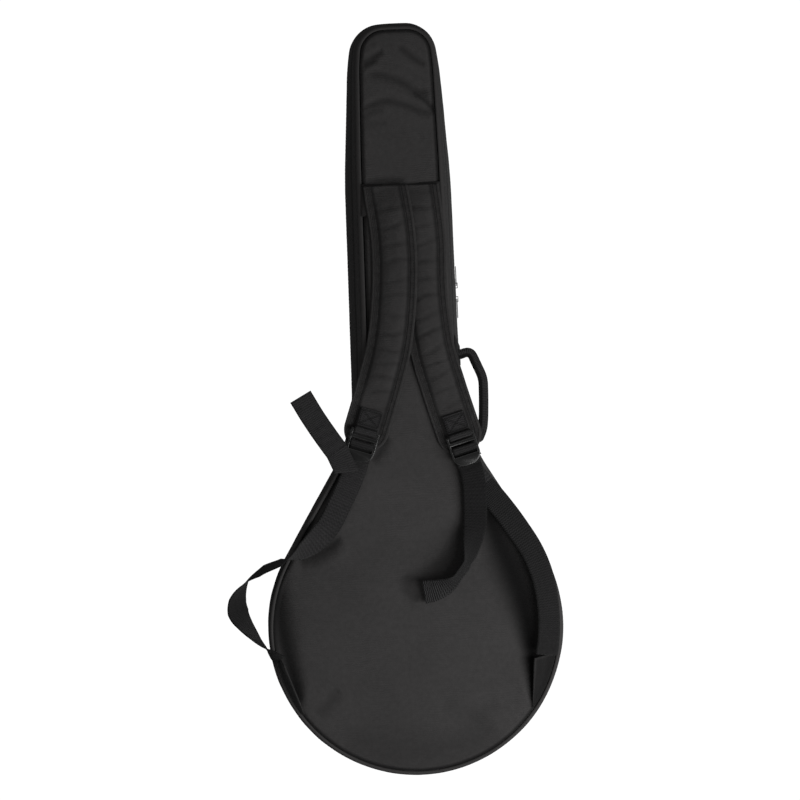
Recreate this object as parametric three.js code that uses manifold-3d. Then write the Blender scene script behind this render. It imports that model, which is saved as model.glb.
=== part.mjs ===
// A padded banjo bag that lies on its front: two zipped halves, shoulder straps, webbing and a side handle.
// The head points to +Y, the back with the straps faces +Z, and the origin is on the floor under the round body.
import * as THREE from "three";
import { mergeVertices } from "three/addons/utils/BufferGeometryUtils.js";
import Module from "manifold-3d";

const degree = Math.PI / 180;
const rightAngle = 90 * degree;
const halfTurn = 180 * degree;

// Outline seen from above, in millimetres, over the swell of the side wall
const bagLength = 1010;
const bodyRadius = 198;
const neckHalfWidth = 73;
const shoulderFillet = 220;
const upperNeckRadius = 1150;
const upperNeckRun = 100;
const templeRadius = 350;
const headCornerRadius = 41;
const headCrownRadius = 160;
const shoulderLean = 31 * degree;
const neckLean = 0.4 * degree;
const crownTurn = 4 * degree;
const wallTurns = { upperNeck: 3.2 * degree, temple: 6.5 * degree };
const panelTurns = { upperNeck: 0.8 * degree, temple: 5 * degree };

// Steps along each stretch of half the outline
const bodySteps = 13;
const filletSteps = 4;
const neckSteps = 3;
const upperNeckSteps = 2;
const templeSteps = 2;
const cornerSteps = 6;

// Depth of the bag, and how far its soft side wall swells past the panels
const bagDepth = 110;
const bodySwell = 4;
const neckSwell = 16;
const headSwell = 9.5;
const headCornerSwell = 5;
const wallFlatHalf = 18;
const wallKneeHalf = 38;
const kneeSwellShare = 0.62;
const backNeckShift = 4;
const shiftStartShare = 0.6;
const shiftEndShare = 1.5;

// Cloth, padding and the clearance between touching pieces
const clearance = 0.3;
const cloth = 1.2;
const lining = 0.8;
const panelFoam = 9;
const wallFoam = 7;
const pipingRadius = 2.75;
const pipingInset = 2;
const bindingInset = 4.3;
const bindingSize = 5.7;

// Zip
const tapeThickness = 0.8;
const tapeReach = 16;
const coilHalfGap = 0.8;
const coilHeight = 1.8;
const coilThickness = 2.2;
const coilInset = 0.4;
const zipOpeningHalf = 6;
const foamSetback = 0.5;
const liningSetback = 3;
const stopLength = 4;
const spineFromSteps = 7;
const spineToSteps = 12;

// Zip slider, its bail and its pull
const sliderLength = 18;
const sliderHeight = 10.4;
const sliderPlate = 1.2;
const sliderWeb = 1;
const sliderMeetShare = 0.5;
const bailThickness = 0.8;
const bailHalfLength = 3.8;
const bailHalfWidth = 1.25;
const pullThickness = 1;
const pullLength = 26;
const pullWidth = 7;
const pullSlotReach = 5.2;
const pullSlotWidth = 3.8;

// Shoulder straps
const yokeTop = 594;
const yokeHeight = 43;
const yokeWidth = 107;
const yokeThickness = 1.5;
const yokeCentre = 4;
const strapTop = 590;
const strapHalfWidth = 30;
const padHalfWidth = 17;
const padEdge = 3.6;
const padCrown = 9;
const padEnd = 5;
const bindingThickness = 3.2;
const strapOverlapLift = 10;
const strapStations = 16;
const leftStrapRun = 322;
const rightStrapRun = 332;
// Drop below the strap's top as a share of its run, and place across as a share of the neck's half width
const leftStrapShares = [
  [0, -0.23],
  [0.22, -0.12],
  [0.43, -0.14],
  [0.65, -0.27],
  [0.81, -0.47],
  [1, -0.75],
];
const rightStrapShares = [
  [0, 0.34],
  [0.22, 0.42],
  [0.43, 0.41],
  [0.65, 0.5],
  [0.81, 0.68],
  [1, 0.93],
];
// Crown of the padding and climb of the upper strap: share of the run, share of the full height
const padCrownShares = [
  [0, 0],
  [0.1, 1],
  [0.78, 1],
  [0.87, 0.26],
  [1, 0.26],
];
const climbShares = [
  [0, 0.56],
  [0.1, 1],
  [0.66, 1],
  [0.86, 0],
  [1, 0],
];
// Section of the padding: share of its half width, share of its edge height and share of its crown over the edge
const padSectionShares = [
  [-1, 0, 0],
  [1, 0, 0],
  [1, 1, 0],
  [0.65, 1, 0.7],
  [0.25, 1, 1],
  [-0.25, 1, 1],
  [-0.65, 1, 0.7],
  [-1, 1, 0],
];
const padNoseTurns = [30 * degree, 60 * degree];
const edgeTurns = [30 * degree, 60 * degree, 90 * degree, 120 * degree, 150 * degree];

// Webbing and ladder locks
const webbingWidth = 32;
const webbingThickness = 1.3;
const patchLength = 27;
const lockWidth = 38;
const lockRail = 2.6;
const lockThickness = 3;
const lockRise = 4.4;
const topBar = 3;
const loopHole = 4.6;
const barWidth = 4;
const slotWidth = 5;
const lowerSlot = 7;
const thumbTab = 14;
const lockReach = 2;
const tailRise = 2.2;
const webbingExit = 8;
const lowerLeftSteps = 40;
const lowerRightSteps = 22;
const tailSteps = 20;

// Webbing routes. Shares of the body radius along X and Y, shares of the webbing's width over the back panel,
// and the roll of the webbing in degrees
const lowerLeftShares = [
  [-0.39, 1.03, 0.16, 0],
  [-0.46, 0.89, 0.13, 0],
  [-0.57, 0.7, 0.13, 0],
  [-0.73, 0.56, 0.42, 45],
  [-0.883, 0.49, 0.55, 102],
  [-1.015, 0.434, 0.33, 106],
  [-1.128, 0.362, 0.06, 88],
  [-1.19, 0.245, -0.08, 50],
  [-1.19, 0.16, -0.1, 34],
  [-1.15, 0.075, -0.04, 56],
  [-1.075, -0.022, 0.24, 80],
  [-1.014, -0.08, 0.46, 96],
  [-0.965, -0.118, 0.48, 114],
  [-0.918, -0.162, 0.42, 128],
];
const lowerRightShares = [
  [0.49, 0.95, 0.13, 0],
  [0.585, 0.83, 0.13, 0],
  [0.7, 0.665, 0.16, 8],
  [0.81, 0.475, 0.2, 16],
  [0.875, 0.27, 0.23, 20],
  [0.895, 0.05, 0.23, 20],
  [0.885, -0.1, 0.23, 20],
  [0.87, -0.205, 0.23, 20],
];
const rightTailShares = [
  [0.43, 0.95, 0.3, 0],
  [0.43, 0.8, 0.26, 0],
  [0.423, 0.69, 0.25, 8],
  [0.4, 0.57, 0.38, 35],
  [0.36, 0.44, 0.52, 68],
  [0.29, 0.34, 0.5, 62],
  [0.21, 0.285, 0.42, 40],
  [0.13, 0.26, 0.36, 18],
  [0.063, 0.25, 0.36, 6],
];
// Places of the locks' ends in shares of the body radius, where these routes start
const leftExitShares = [-0.348, 1.141];
const rightExitShares = [0.405, 1.088];
// The left tail folds back over itself. Its fold and its route are placed from the lock's end, in shares of the
// webbing's width along X and Y, and over the back panel
const foldPlaceShares = [-0.476, -0.312];
const leftTailShares = [
  [-0.819, 0.469, 0.52],
  [-1.257, 1.125, 0.53],
  [-1.725, 1.875, 0.56],
  [-2.225, 2.782, 0.62],
];
const foldSlant = 4 * degree;
const foldRadius = 3.1;
const foldWidth = 34;
const foldTurns = [0, 45 * degree, 90 * degree, 135 * degree, 180 * degree];

// Wing tabs, as angles round the body, with the place of the inner corner in shares of the panel's radius and its
// rise in shares of the webbing's width
const wingThickness = 2;
const wingEndWidth = 2;
const rightWingFrom = -13.5 * degree;
const rightWingTo = -36 * degree;
const leftWingFrom = 188.5 * degree;
const leftWingTo = 215 * degree;
const rightWing = { from: rightWingFrom, to: rightWingTo, innerShares: [0.798, -0.248, 0.4] };
const leftWing = { from: leftWingFrom, to: leftWingTo, innerShares: [-0.897, -0.22, 0.72] };
const wingSteps = 6;

// Side handle
const handleHeightShare = 0.745;
const handleUpper = 362;
const handleLower = 240;
const handleReach = 28;
const handleWidth = 13;
const handleGripHalf = 4;
const handleRootHalf = 3;
const handleTabHeightShare = 0.29;
const handleTabLength = 26;
const handleTabThickness = 1.6;
const handleTabGap = 0.8;
const handleRootGap = 1.9;
const handleTaperShare = 0.2;
const handleSteps = 20;
// Middle line of the grip: share of the span between its roots and share of its reach
const handleShares = [
  [-0.012, 0.36],
  [0.045, 0.64],
  [0.17, 0.81],
  [0.36, 0.85],
  [0.56, 0.74],
  [0.76, 0.56],
  [0.92, 0.44],
  [0.985, 0.28],
];
const handleNoseTurns = [75 * degree, 45 * degree];

// Sizes that follow from those above
const half = bagDepth / 2;
const handleHeight = handleHeightShare * bagDepth;
const handleTabHeight = handleTabHeightShare * bagDepth;
const headTop = bagLength - bodyRadius;
const pipingRoom = pipingInset + pipingRadius + clearance;
const tapeInset = cloth + clearance;
const foamInset = tapeInset + tapeThickness + clearance;
const liningInset = foamInset + wallFoam + clearance;
const wallThickness = liningInset + lining;
const foamTop = half - cloth - clearance;
const panelLiningTop = foamTop - panelFoam - clearance;
const wallTop = panelLiningTop - lining - clearance;
const strapBase = bagDepth + yokeThickness + 2 * clearance;
const padTop = strapBase + padEnd;
const barCentre = lockRise + lockThickness / 2;
const lockLength = topBar + slotWidth + barWidth + slotWidth + barWidth + lowerSlot + thumbTab;

const wallOutline = {
  radius: bodyRadius,
  neck: neckHalfWidth,
  top: headTop,
  corner: headCornerRadius,
  turns: wallTurns,
};
const panelOutline = {
  radius: bodyRadius - bodySwell,
  neck: neckHalfWidth - neckSwell,
  top: headTop - headSwell,
  corner: headCornerRadius - headCornerSwell,
  turns: panelTurns,
};

const black = new THREE.MeshStandardMaterial({ color: 0x2c2c2d, roughness: 0.85, metalness: 0 });
const materials = {
  cloth: black,
  foam: new THREE.MeshStandardMaterial({ color: 0x55565a, roughness: 0.95, metalness: 0 }),
  lining: new THREE.MeshStandardMaterial({ color: 0x3a3b3e, roughness: 0.9, metalness: 0 }),
  piping: new THREE.MeshStandardMaterial({ color: 0x2f2f30, roughness: 0.6, metalness: 0 }),
  webbing: new THREE.MeshStandardMaterial({ color: 0x1e1e1f, roughness: 0.7, metalness: 0 }),
  plastic: new THREE.MeshStandardMaterial({ color: 0x19191a, roughness: 0.35, metalness: 0 }),
  metal: new THREE.MeshStandardMaterial({ color: 0x2a2a2c, roughness: 0.35, metalness: 0.9 }),
};

const bag = new THREE.Group();

function addPiece(name, geometry, material, parent = bag) {
  const mesh = new THREE.Mesh(geometry, material);
  mesh.name = name;
  parent.add(mesh);
  return mesh;
}

// Value at a place along a list of [place, value] pairs, straight between them
function alongShares(pairs, place) {
  for (let i = 1; i < pairs.length; i++) {
    const [from, low] = pairs[i - 1];
    const [to, high] = pairs[i];
    if (place <= to) return low + ((high - low) * (place - from)) / (to - from);
  }
  return pairs[pairs.length - 1][1];
}

function signedVolume(positions, index) {
  const a = new THREE.Vector3();
  const b = new THREE.Vector3();
  const c = new THREE.Vector3();
  let sum = 0;
  for (let i = 0; i < index.length; i += 3) {
    a.fromArray(positions, 3 * index[i]);
    b.fromArray(positions, 3 * index[i + 1]);
    c.fromArray(positions, 3 * index[i + 2]);
    sum += a.dot(b.cross(c));
  }
  return sum;
}

// Solid through equal sections. An open one is capped, with its caps cut as the flat outline says.
function loft(sections, flatOutline = null) {
  const count = sections[0].length;
  const positions = sections.flat().flatMap((point) => point.toArray());
  const index = [];
  const spans = flatOutline ? sections.length - 1 : sections.length;
  for (let s = 0; s < spans; s++) {
    const near = s * count;
    const far = ((s + 1) % sections.length) * count;
    for (let k = 0; k < count; k++) {
      const next = (k + 1) % count;
      index.push(near + k, near + next, far + k, near + next, far + next, far + k);
    }
  }
  if (flatOutline) {
    const last = (sections.length - 1) * count;
    for (const [i, j, k] of THREE.ShapeUtils.triangulateShape(flatOutline, [])) {
      const facesIn = THREE.ShapeUtils.isClockWise(flatOutline);
      const [p, q] = facesIn ? [j, k] : [k, j];
      index.push(i, p, q, last + i, last + q, last + p);
    }
  }
  if (signedVolume(positions, index) < 0) {
    for (let i = 0; i < index.length; i += 3) [index[i + 1], index[i + 2]] = [index[i + 2], index[i + 1]];
  }
  const geometry = new THREE.BufferGeometry();
  geometry.setAttribute("position", new THREE.Float32BufferAttribute(positions, 3));
  geometry.setIndex(index);
  geometry.computeVertexNormals();
  return geometry;
}

// Step that a bend takes the outline, for a radius that is negative in a hollow
function bendStep(radius, heading, turn) {
  return new THREE.Vector2(
    radius * (Math.sin(heading + turn) - Math.sin(heading)),
    radius * (Math.cos(heading) - Math.cos(heading + turn)),
  );
}

// Stretches of half the outline, from the bottom centre round the right side to the head's centre
function stretches(size) {
  const bends = [
    { radius: size.radius, turn: rightAngle + shoulderLean, steps: bodySteps },
    { run: 0, steps: 1 },
    { radius: -shoulderFillet, turn: neckLean - shoulderLean, steps: filletSteps },
    { run: 0, steps: neckSteps },
    { radius: upperNeckRadius, turn: size.turns.upperNeck, steps: upperNeckSteps },
    { run: upperNeckRun, steps: neckSteps },
    { radius: templeRadius, turn: size.turns.temple, steps: templeSteps },
    { radius: size.corner, turn: 0, steps: cornerSteps },
    { radius: headCrownRadius, turn: crownTurn, steps: 1 },
    { run: 0, steps: 1 },
  ];
  const turned = bends.reduce((sum, bend) => sum + (bend.turn ?? 0), 0);
  bends[7].turn = halfTurn - turned;
  // The shoulder meets the neck's width, the neck reaches the head's top and the crown meets the middle
  const reach = (first, last) => {
    const sum = new THREE.Vector2();
    let heading = bends.slice(0, first).reduce((total, bend) => total + (bend.turn ?? 0), 0);
    for (const bend of bends.slice(first, last)) {
      if (bend.turn === undefined) sum.add(new THREE.Vector2(Math.cos(heading), Math.sin(heading)).multiplyScalar(bend.run));
      else {
        sum.add(bendStep(bend.radius, heading, bend.turn));
        heading += bend.turn;
      }
    }
    return sum;
  };
  bends[1].run = (reach(0, 3).x - size.neck) / Math.sin(shoulderLean);
  bends[3].run = (size.top + size.radius - reach(0, 10).y) / Math.cos(neckLean);
  bends[9].run = reach(0, 10).x;
  return bends;
}

function makeOutline(size, inset) {
  const right = [new THREE.Vector2(0, inset - size.radius)];
  let heading = 0;
  for (const bend of stretches(size)) {
    for (let k = 0; k < bend.steps; k++) {
      const from = right[right.length - 1];
      if (bend.turn === undefined) {
        const along = new THREE.Vector2(Math.cos(heading), Math.sin(heading));
        right.push(from.clone().addScaledVector(along, bend.run / bend.steps));
      } else {
        right.push(from.clone().add(bendStep(bend.radius - inset, heading, bend.turn / bend.steps)));
        heading += bend.turn / bend.steps;
      }
    }
  }
  const left = right.slice(1, -1).reverse();
  return [...right, ...left.map((point) => new THREE.Vector2(-point.x, point.y))];
}

const madeOutlines = new Map();

function outline(size, inset) {
  const key = size.radius + " " + inset;
  if (!madeOutlines.has(key)) madeOutlines.set(key, makeOutline(size, inset));
  return madeOutlines.get(key);
}

const stationCount = outline(wallOutline, 0).length;
const neckStation = bodySteps + 1 + filletSteps;
const neckStart = outline(wallOutline, 0)[neckStation];
const neckEnd = outline(wallOutline, 0)[neckStation + neckSteps];

function swellShare(level) {
  const height = Math.abs(level - half);
  if (height <= wallFlatHalf) return 1;
  const knots = [
    [wallFlatHalf, 1],
    [wallKneeHalf, kneeSwellShare],
    [half, 0],
  ];
  return alongShares(knots, Math.min(height, half));
}

// Point of the shell at a whole station, an inset from the outside and a level over the floor
function cornerPoint(station, inset, level) {
  const index = ((station % stationCount) + stationCount) % stationCount;
  const panel = outline(panelOutline, inset)[index];
  const wall = outline(wallOutline, inset)[index];
  const swell = swellShare(level);
  const flat = panel.clone().lerp(wall, swell);
  const climb = THREE.MathUtils.smoothstep(flat.y, shiftStartShare * bodyRadius, shiftEndShare * bodyRadius);
  const shift = level > half ? backNeckShift * climb * (1 - swell) : 0;
  return new THREE.Vector3(flat.x + shift, flat.y, level);
}

function shellPoint(station, inset, level) {
  const low = Math.floor(station);
  const point = cornerPoint(low, inset, level);
  return station === low ? point : point.lerp(cornerPoint(low + 1, inset, level), station - low);
}

// Levels from one to another, with the wall's knees between them
function wallLevels(from, to) {
  const knees = [wallFlatHalf, wallKneeHalf].filter((knee) => knee > from && knee < to);
  return [from, ...knees, to];
}

// Strip of the side wall between two insets and two heights from the zip, on the back half or the front half
function wallProfile(outer, inner, from, to) {
  const levels = wallLevels(from, to);
  const outside = levels.map((height) => new THREE.Vector2(outer, height));
  const inside = levels.reverse().map((height) => new THREE.Vector2(inner, height));
  return [...outside, ...inside];
}

function wallSections(profile, side, stations) {
  return stations.map((station) => profile.map(({ x, y }) => shellPoint(station, x, half + side * y)));
}

function wallRing(profile, side) {
  return loft(wallSections(profile, side, [...Array(stationCount).keys()]));
}

function wallStrip(profile, side, from, to) {
  const stations = [from];
  for (let k = Math.floor(from) + 1; k < to; k++) stations.push(k);
  stations.push(to);
  return loft(wallSections(profile, side, stations), profile);
}

// Flat layer of a panel, from one height over the zip to another, with its edge at an inset
function panelLayer(inset, side, from, to) {
  const rings = [from, to].map((height) =>
    [...Array(stationCount).keys()].map((station) => shellPoint(station, inset, half + side * height)),
  );
  const flat = rings[0].map((point) => new THREE.Vector2(point.x, point.y));
  return loft(rings, flat);
}

function roundProfile(centre, radius, sides) {
  return [...Array(sides).keys()].map((k) => {
    const angle = ((k + 0.5) * 2 * Math.PI) / sides;
    return new THREE.Vector2(centre.x + radius * Math.cos(angle), centre.y + radius * Math.sin(angle));
  });
}

const bodyStep = (bodyRadius * (rightAngle + shoulderLean)) / bodySteps;

// One half of the bag: its panel, its side wall, its piping and its half of the zip
function addHalf(name, side) {
  addPiece(name + "_panel", panelLayer(pipingRoom, side, half - cloth, half), materials.cloth);
  addPiece(name + "_panel_foam", panelLayer(wallThickness + clearance, side, foamTop - panelFoam, foamTop), materials.foam);
  const liningLayer = panelLayer(wallThickness + clearance, side, panelLiningTop - lining, panelLiningTop);
  addPiece(name + "_panel_lining", liningLayer, materials.lining);

  const pipingCentre = new THREE.Vector2(pipingInset, half - pipingRadius);
  const seamLevel = pipingCentre.y - pipingRadius - clearance;
  addPiece(name + "_gusset", wallRing(wallProfile(0, cloth, zipOpeningHalf, seamLevel), side), materials.cloth);
  const foamFrom = zipOpeningHalf + foamSetback;
  const foam = wallProfile(foamInset, foamInset + wallFoam, foamFrom, wallTop);
  addPiece(name + "_gusset_foam", wallRing(foam, side), materials.foam);
  const skin = wallProfile(liningInset, wallThickness, liningSetback, wallTop);
  addPiece(name + "_gusset_lining", wallRing(skin, side), materials.lining);
  addPiece(name + "_piping", wallRing(roundProfile(pipingCentre, pipingRadius, 6), side), materials.piping);
  const bindingTop = pipingCentre.y - (bindingInset - pipingInset);
  const binding = wallProfile(bindingInset, bindingInset + bindingSize, bindingTop - bindingSize, bindingTop);
  addPiece(name + "_seam_binding", wallRing(binding, side), materials.webbing);

  const zipFrom = spineToSteps;
  const zipTo = stationCount + spineFromSteps;
  const coilTop = coilHalfGap + coilHeight;
  const tape = wallProfile(tapeInset, tapeInset + tapeThickness, coilTop + clearance, tapeReach);
  addPiece("zip_tape_" + name, wallStrip(tape, side, zipFrom, zipTo), materials.webbing);
  const coil = wallProfile(coilInset, coilInset + coilThickness, coilHalfGap, coilTop);
  const stop = wallProfile(coilInset - clearance, coilInset + coilThickness, coilHalfGap, coilTop);
  const stopSpan = stopLength / bodyStep;
  const gapSpan = clearance / bodyStep;
  addPiece("zip_coil_" + name, wallStrip(coil, side, zipFrom + stopSpan + gapSpan, zipTo - stopSpan - gapSpan), materials.plastic);
  addPiece("zip_stop_" + name + "_upper", wallStrip(stop, side, zipFrom, zipFrom + stopSpan), materials.metal);
  addPiece("zip_stop_" + name + "_lower", wallStrip(stop, side, zipTo - stopSpan, zipTo), materials.metal);
}

function addSpine() {
  const gapSpan = clearance / bodyStep;
  const profile = [
    new THREE.Vector2(tapeInset, -tapeReach),
    new THREE.Vector2(tapeInset, tapeReach),
    new THREE.Vector2(tapeInset + tapeThickness, tapeReach),
    new THREE.Vector2(tapeInset + tapeThickness, -tapeReach),
  ];
  addPiece("spine_strip", wallStrip(profile, 1, spineFromSteps + gapSpan, spineToSteps - gapSpan), materials.cloth);
}

function extruded(shape, depth) {
  return new THREE.ExtrudeGeometry(shape, { depth, bevelEnabled: false, curveSegments: 6 });
}

function polygon(points) {
  return new THREE.Shape(points.map(([x, y]) => new THREE.Vector2(x, y)));
}

// Solids joined into one
const manifold = await Module();
manifold.setup();

function joined(geometries) {
  const solids = geometries.map((geometry) => {
    const bare = new THREE.BufferGeometry();
    bare.setAttribute("position", geometry.getAttribute("position"));
    bare.setIndex(geometry.index);
    const welded = mergeVertices(bare);
    const vertProperties = welded.getAttribute("position").array;
    return new manifold.Manifold(new manifold.Mesh({ numProp: 3, vertProperties, triVerts: welded.index.array }));
  });
  const mesh = solids.reduce((whole, solid) => whole.add(solid)).getMesh();
  const geometry = new THREE.BufferGeometry();
  geometry.setAttribute("position", new THREE.BufferAttribute(mesh.vertProperties, 3));
  geometry.setIndex(new THREE.BufferAttribute(mesh.triVerts, 1));
  geometry.computeVertexNormals();
  return geometry;
}

function rectangle(left, bottom, right, top) {
  const corners = [
    [left, bottom],
    [right, bottom],
    [right, top],
    [left, top],
  ];
  return new THREE.Path(corners.map(([x, y]) => new THREE.Vector2(x, y)));
}

// Zip sliders on the straight right side of the neck. Inside a slider's group X points out of the wall,
// Y along the neck and Z up.
const innerPlate = coilInset + coilThickness + clearance;
const outerFace = clearance - coilInset + sliderPlate;
const pullCentre = outerFace + clearance + pullThickness * Math.SQRT1_2;

function sliderGeometry() {
  const across = sliderHeight / 2;
  const web = sliderWeb / 2;
  const inner = clearance - coilInset;
  const section = polygon([
    [outerFace, -across],
    [outerFace, across],
    [inner, across],
    [inner, web],
    [-innerPlate, web],
    [-innerPlate, across],
    [-innerPlate - sliderPlate, across],
    [-innerPlate - sliderPlate, -across],
    [-innerPlate, -across],
    [-innerPlate, -web],
    [inner, -web],
    [inner, -across],
  ]);
  const body = extruded(section, sliderLength);
  body.rotateX(-rightAngle);
  body.translate(0, -sliderLength / 2, 0);
  return body;
}

function bailGeometry() {
  const innerTop = pullCentre + pullThickness * Math.SQRT1_2 + clearance;
  const innerHalf = bailHalfLength - bailThickness;
  const foot = outerFace - sliderPlate / 2;
  const arch = polygon([
    [foot, -bailHalfLength],
    [innerTop + bailThickness, -bailHalfLength],
    [innerTop + bailThickness, bailHalfLength],
    [foot, bailHalfLength],
    [foot, innerHalf],
    [innerTop, innerHalf],
    [innerTop, -innerHalf],
    [foot, -innerHalf],
  ]);
  const bail = extruded(arch, 2 * bailHalfWidth);
  bail.translate(0, 0, -bailHalfWidth);
  return bail;
}

// The pull lies along the neck, with its end bar under the bail
function pullGeometry(direction) {
  const end = pullThickness / 2;
  const shape = polygon([
    [-end, -pullWidth / 2],
    [pullLength - pullWidth / 2, -pullWidth / 2],
    [pullLength, -pullWidth / 4],
    [pullLength, pullWidth / 4],
    [pullLength - pullWidth / 2, pullWidth / 2],
    [-end, pullWidth / 2],
  ]);
  shape.holes.push(rectangle(end, -pullSlotWidth / 2, pullSlotReach, pullSlotWidth / 2));
  const pull = extruded(shape, pullThickness);
  pull.translate(0, 0, -end);
  pull.rotateX(rightAngle);
  pull.rotateZ(direction * rightAngle);
  pull.translate(pullCentre, 0, 0);
  return pull;
}

function addSlider(name, direction) {
  const neck = neckEnd.clone().sub(neckStart);
  const along = sliderMeetShare + (direction * (sliderLength / 2 + clearance)) / neck.length();
  const place = neckStart.clone().lerp(neckEnd, along);
  const group = new THREE.Group();
  group.position.set(place.x, place.y, half);
  group.rotation.z = neckLean;
  bag.add(group);
  addPiece("zip_slider_" + name, joined([sliderGeometry(), bailGeometry()]), materials.metal, group);
  addPiece("zip_pull_" + name, pullGeometry(direction), materials.metal, group);
}

// Route of a strap seen from above, as a smooth curve
function strapCurve(shares, run) {
  const points = shares.map(([drop, across]) => new THREE.Vector3(across * neckHalfWidth, strapTop - drop * run, 0));
  return new THREE.CatmullRomCurve3(points, false, "centripetal");
}

function strapFrame(curve, share) {
  const place = curve.getPoint(share);
  const along = curve.getTangent(share);
  const across = new THREE.Vector3(-along.y, along.x, 0);
  return { place, along, across };
}

// Height that the upper strap gains as it climbs over the lower one
function strapClimb(climbs, share, across) {
  if (!climbs) return 0;
  return (strapOverlapLift * alongShares(climbShares, share) * (across / strapHalfWidth + 1)) / 2;
}

function strapPoint(frame, climbs, share, across, height) {
  const point = frame.place.clone().addScaledVector(frame.across, across);
  point.z = strapBase + height + strapClimb(climbs, share, across);
  return point;
}

function strapPad(curve, climbs) {
  const sections = [];
  const addSection = (frame, share, halfWidth, crown) => {
    const corners = padSectionShares.map(([across, edge, rise]) => {
      const height = edge * padEdge + rise * (crown - padEdge);
      return strapPoint(frame, climbs, share, across * halfWidth, height);
    });
    sections.push(corners);
  };
  for (let k = 0; k <= strapStations; k++) {
    const share = k / strapStations;
    const crown = padEdge + (padCrown - padEdge) * alongShares(padCrownShares, share);
    addSection(strapFrame(curve, share), share, padHalfWidth, crown);
  }
  const last = strapFrame(curve, 1);
  for (const turn of padNoseTurns) {
    const place = last.place.clone().addScaledVector(last.along, padHalfWidth * Math.sin(turn));
    addSection({ ...last, place }, 1, padHalfWidth * Math.cos(turn), padEnd);
  }
  const flat = padSectionShares.map(([across, edge, rise]) => new THREE.Vector2(across, edge + rise));
  return loft(sections, flat);
}

// Edge tape of a strap: down one side, round the tip and up the other side
function strapEdge(curve, climbs) {
  const inner = padHalfWidth + clearance;
  const sections = [];
  const addSection = (place, out, share, side) => {
    const corners = [
      [inner, 0],
      [strapHalfWidth, 0],
      [strapHalfWidth, bindingThickness],
      [inner, bindingThickness],
    ];
    const points = corners.map(([reach, height]) => {
      const point = place.clone().addScaledVector(out, reach);
      point.z = strapBase + height + strapClimb(climbs, share, side * reach);
      return point;
    });
    sections.push(points);
  };
  for (let k = 0; k <= strapStations; k++) {
    const share = k / strapStations;
    const { place, across } = strapFrame(curve, share);
    addSection(place, across.clone().negate(), share, -1);
  }
  const last = strapFrame(curve, 1);
  for (const turn of edgeTurns) {
    const out = last.across.clone().multiplyScalar(-Math.cos(turn));
    addSection(last.place, out.addScaledVector(last.along, Math.sin(turn)), 1, 0);
  }
  for (let k = strapStations; k >= 0; k--) {
    const share = k / strapStations;
    const { place, across } = strapFrame(curve, share);
    addSection(place, across, share, 1);
  }
  return loft(sections, squareOutline());
}

// Group at a strap's end: X across to the strap's right as it runs, Y down along it and Z up from the padding's top
function endGroup(curve) {
  const { place, along } = strapFrame(curve, 1);
  const group = new THREE.Group();
  group.position.copy(place).addScaledVector(along, lockReach);
  group.position.z = padTop;
  group.rotation.z = Math.atan2(along.y, along.x) - rightAngle;
  bag.add(group);
  return group;
}

// Turns a side outline, drawn along the strap and up, into a solid across the strap
function acrossStrap(shape, width) {
  const geometry = extruded(shape, width);
  geometry.applyMatrix4(
    new THREE.Matrix4().makeBasis(new THREE.Vector3(0, 1, 0), new THREE.Vector3(0, 0, 1), new THREE.Vector3(1, 0, 0)),
  );
  geometry.translate(-width / 2, 0, 0);
  return geometry;
}

// Sewn patch with the loop that holds the lock's top bar
function strapLoop() {
  const middle = topBar / 2;
  const hole = loopHole / 2;
  const outer = hole + webbingThickness;
  const top = barCentre + outer;
  const shape = polygon([
    [middle - outer - patchLength, clearance],
    [middle + outer, clearance],
    [middle + outer, top],
    [middle - outer, top],
    [middle - outer - webbingThickness * 2, clearance + webbingThickness * 2],
    [middle - outer - patchLength, clearance + webbingThickness * 2],
  ]);
  shape.holes.push(rectangle(middle - hole, barCentre - hole, middle + hole, barCentre + hole));
  return acrossStrap(shape, webbingWidth);
}

function lockGeometry() {
  const side = lockWidth / 2;
  const inside = side - lockRail;
  const tabStart = lockLength - thumbTab;
  const shape = new THREE.Shape();
  shape.moveTo(-side, 0);
  shape.lineTo(side, 0);
  shape.lineTo(side, tabStart);
  shape.quadraticCurveTo(side - lockRail, lockLength, 0, lockLength);
  shape.quadraticCurveTo(lockRail - side, lockLength, -side, tabStart);
  shape.closePath();
  let start = topBar;
  for (const [slot, bar] of [
    [slotWidth, barWidth],
    [slotWidth, barWidth],
    [lowerSlot, thumbTab],
  ]) {
    shape.holes.push(rectangle(-inside, start, inside, start + slot));
    start += slot + bar;
  }
  const lock = extruded(shape, lockThickness);
  lock.translate(0, 0, lockRise);
  return lock;
}

// Webbing that comes from below, turns over the second bar and leaves under the thumb tab
function turnGeometry() {
  const under = clearance + webbingThickness / 2;
  const firstBarEnd = topBar + slotWidth + barWidth;
  const upward = firstBarEnd + slotWidth - clearance - webbingThickness / 2;
  const over = lockRise + lockThickness + clearance + webbingThickness / 2;
  const down = firstBarEnd + slotWidth + barWidth + clearance + webbingThickness / 2;
  const out = tailRise + webbingThickness / 2;
  const middleLine = [
    [lockLength, under],
    [upward, under],
    [upward, over],
    [down, over],
    [down + webbingThickness, out],
    [lockLength, out],
  ];
  return acrossStrap(ribbonSide(middleLine, webbingThickness), webbingWidth);
}

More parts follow.
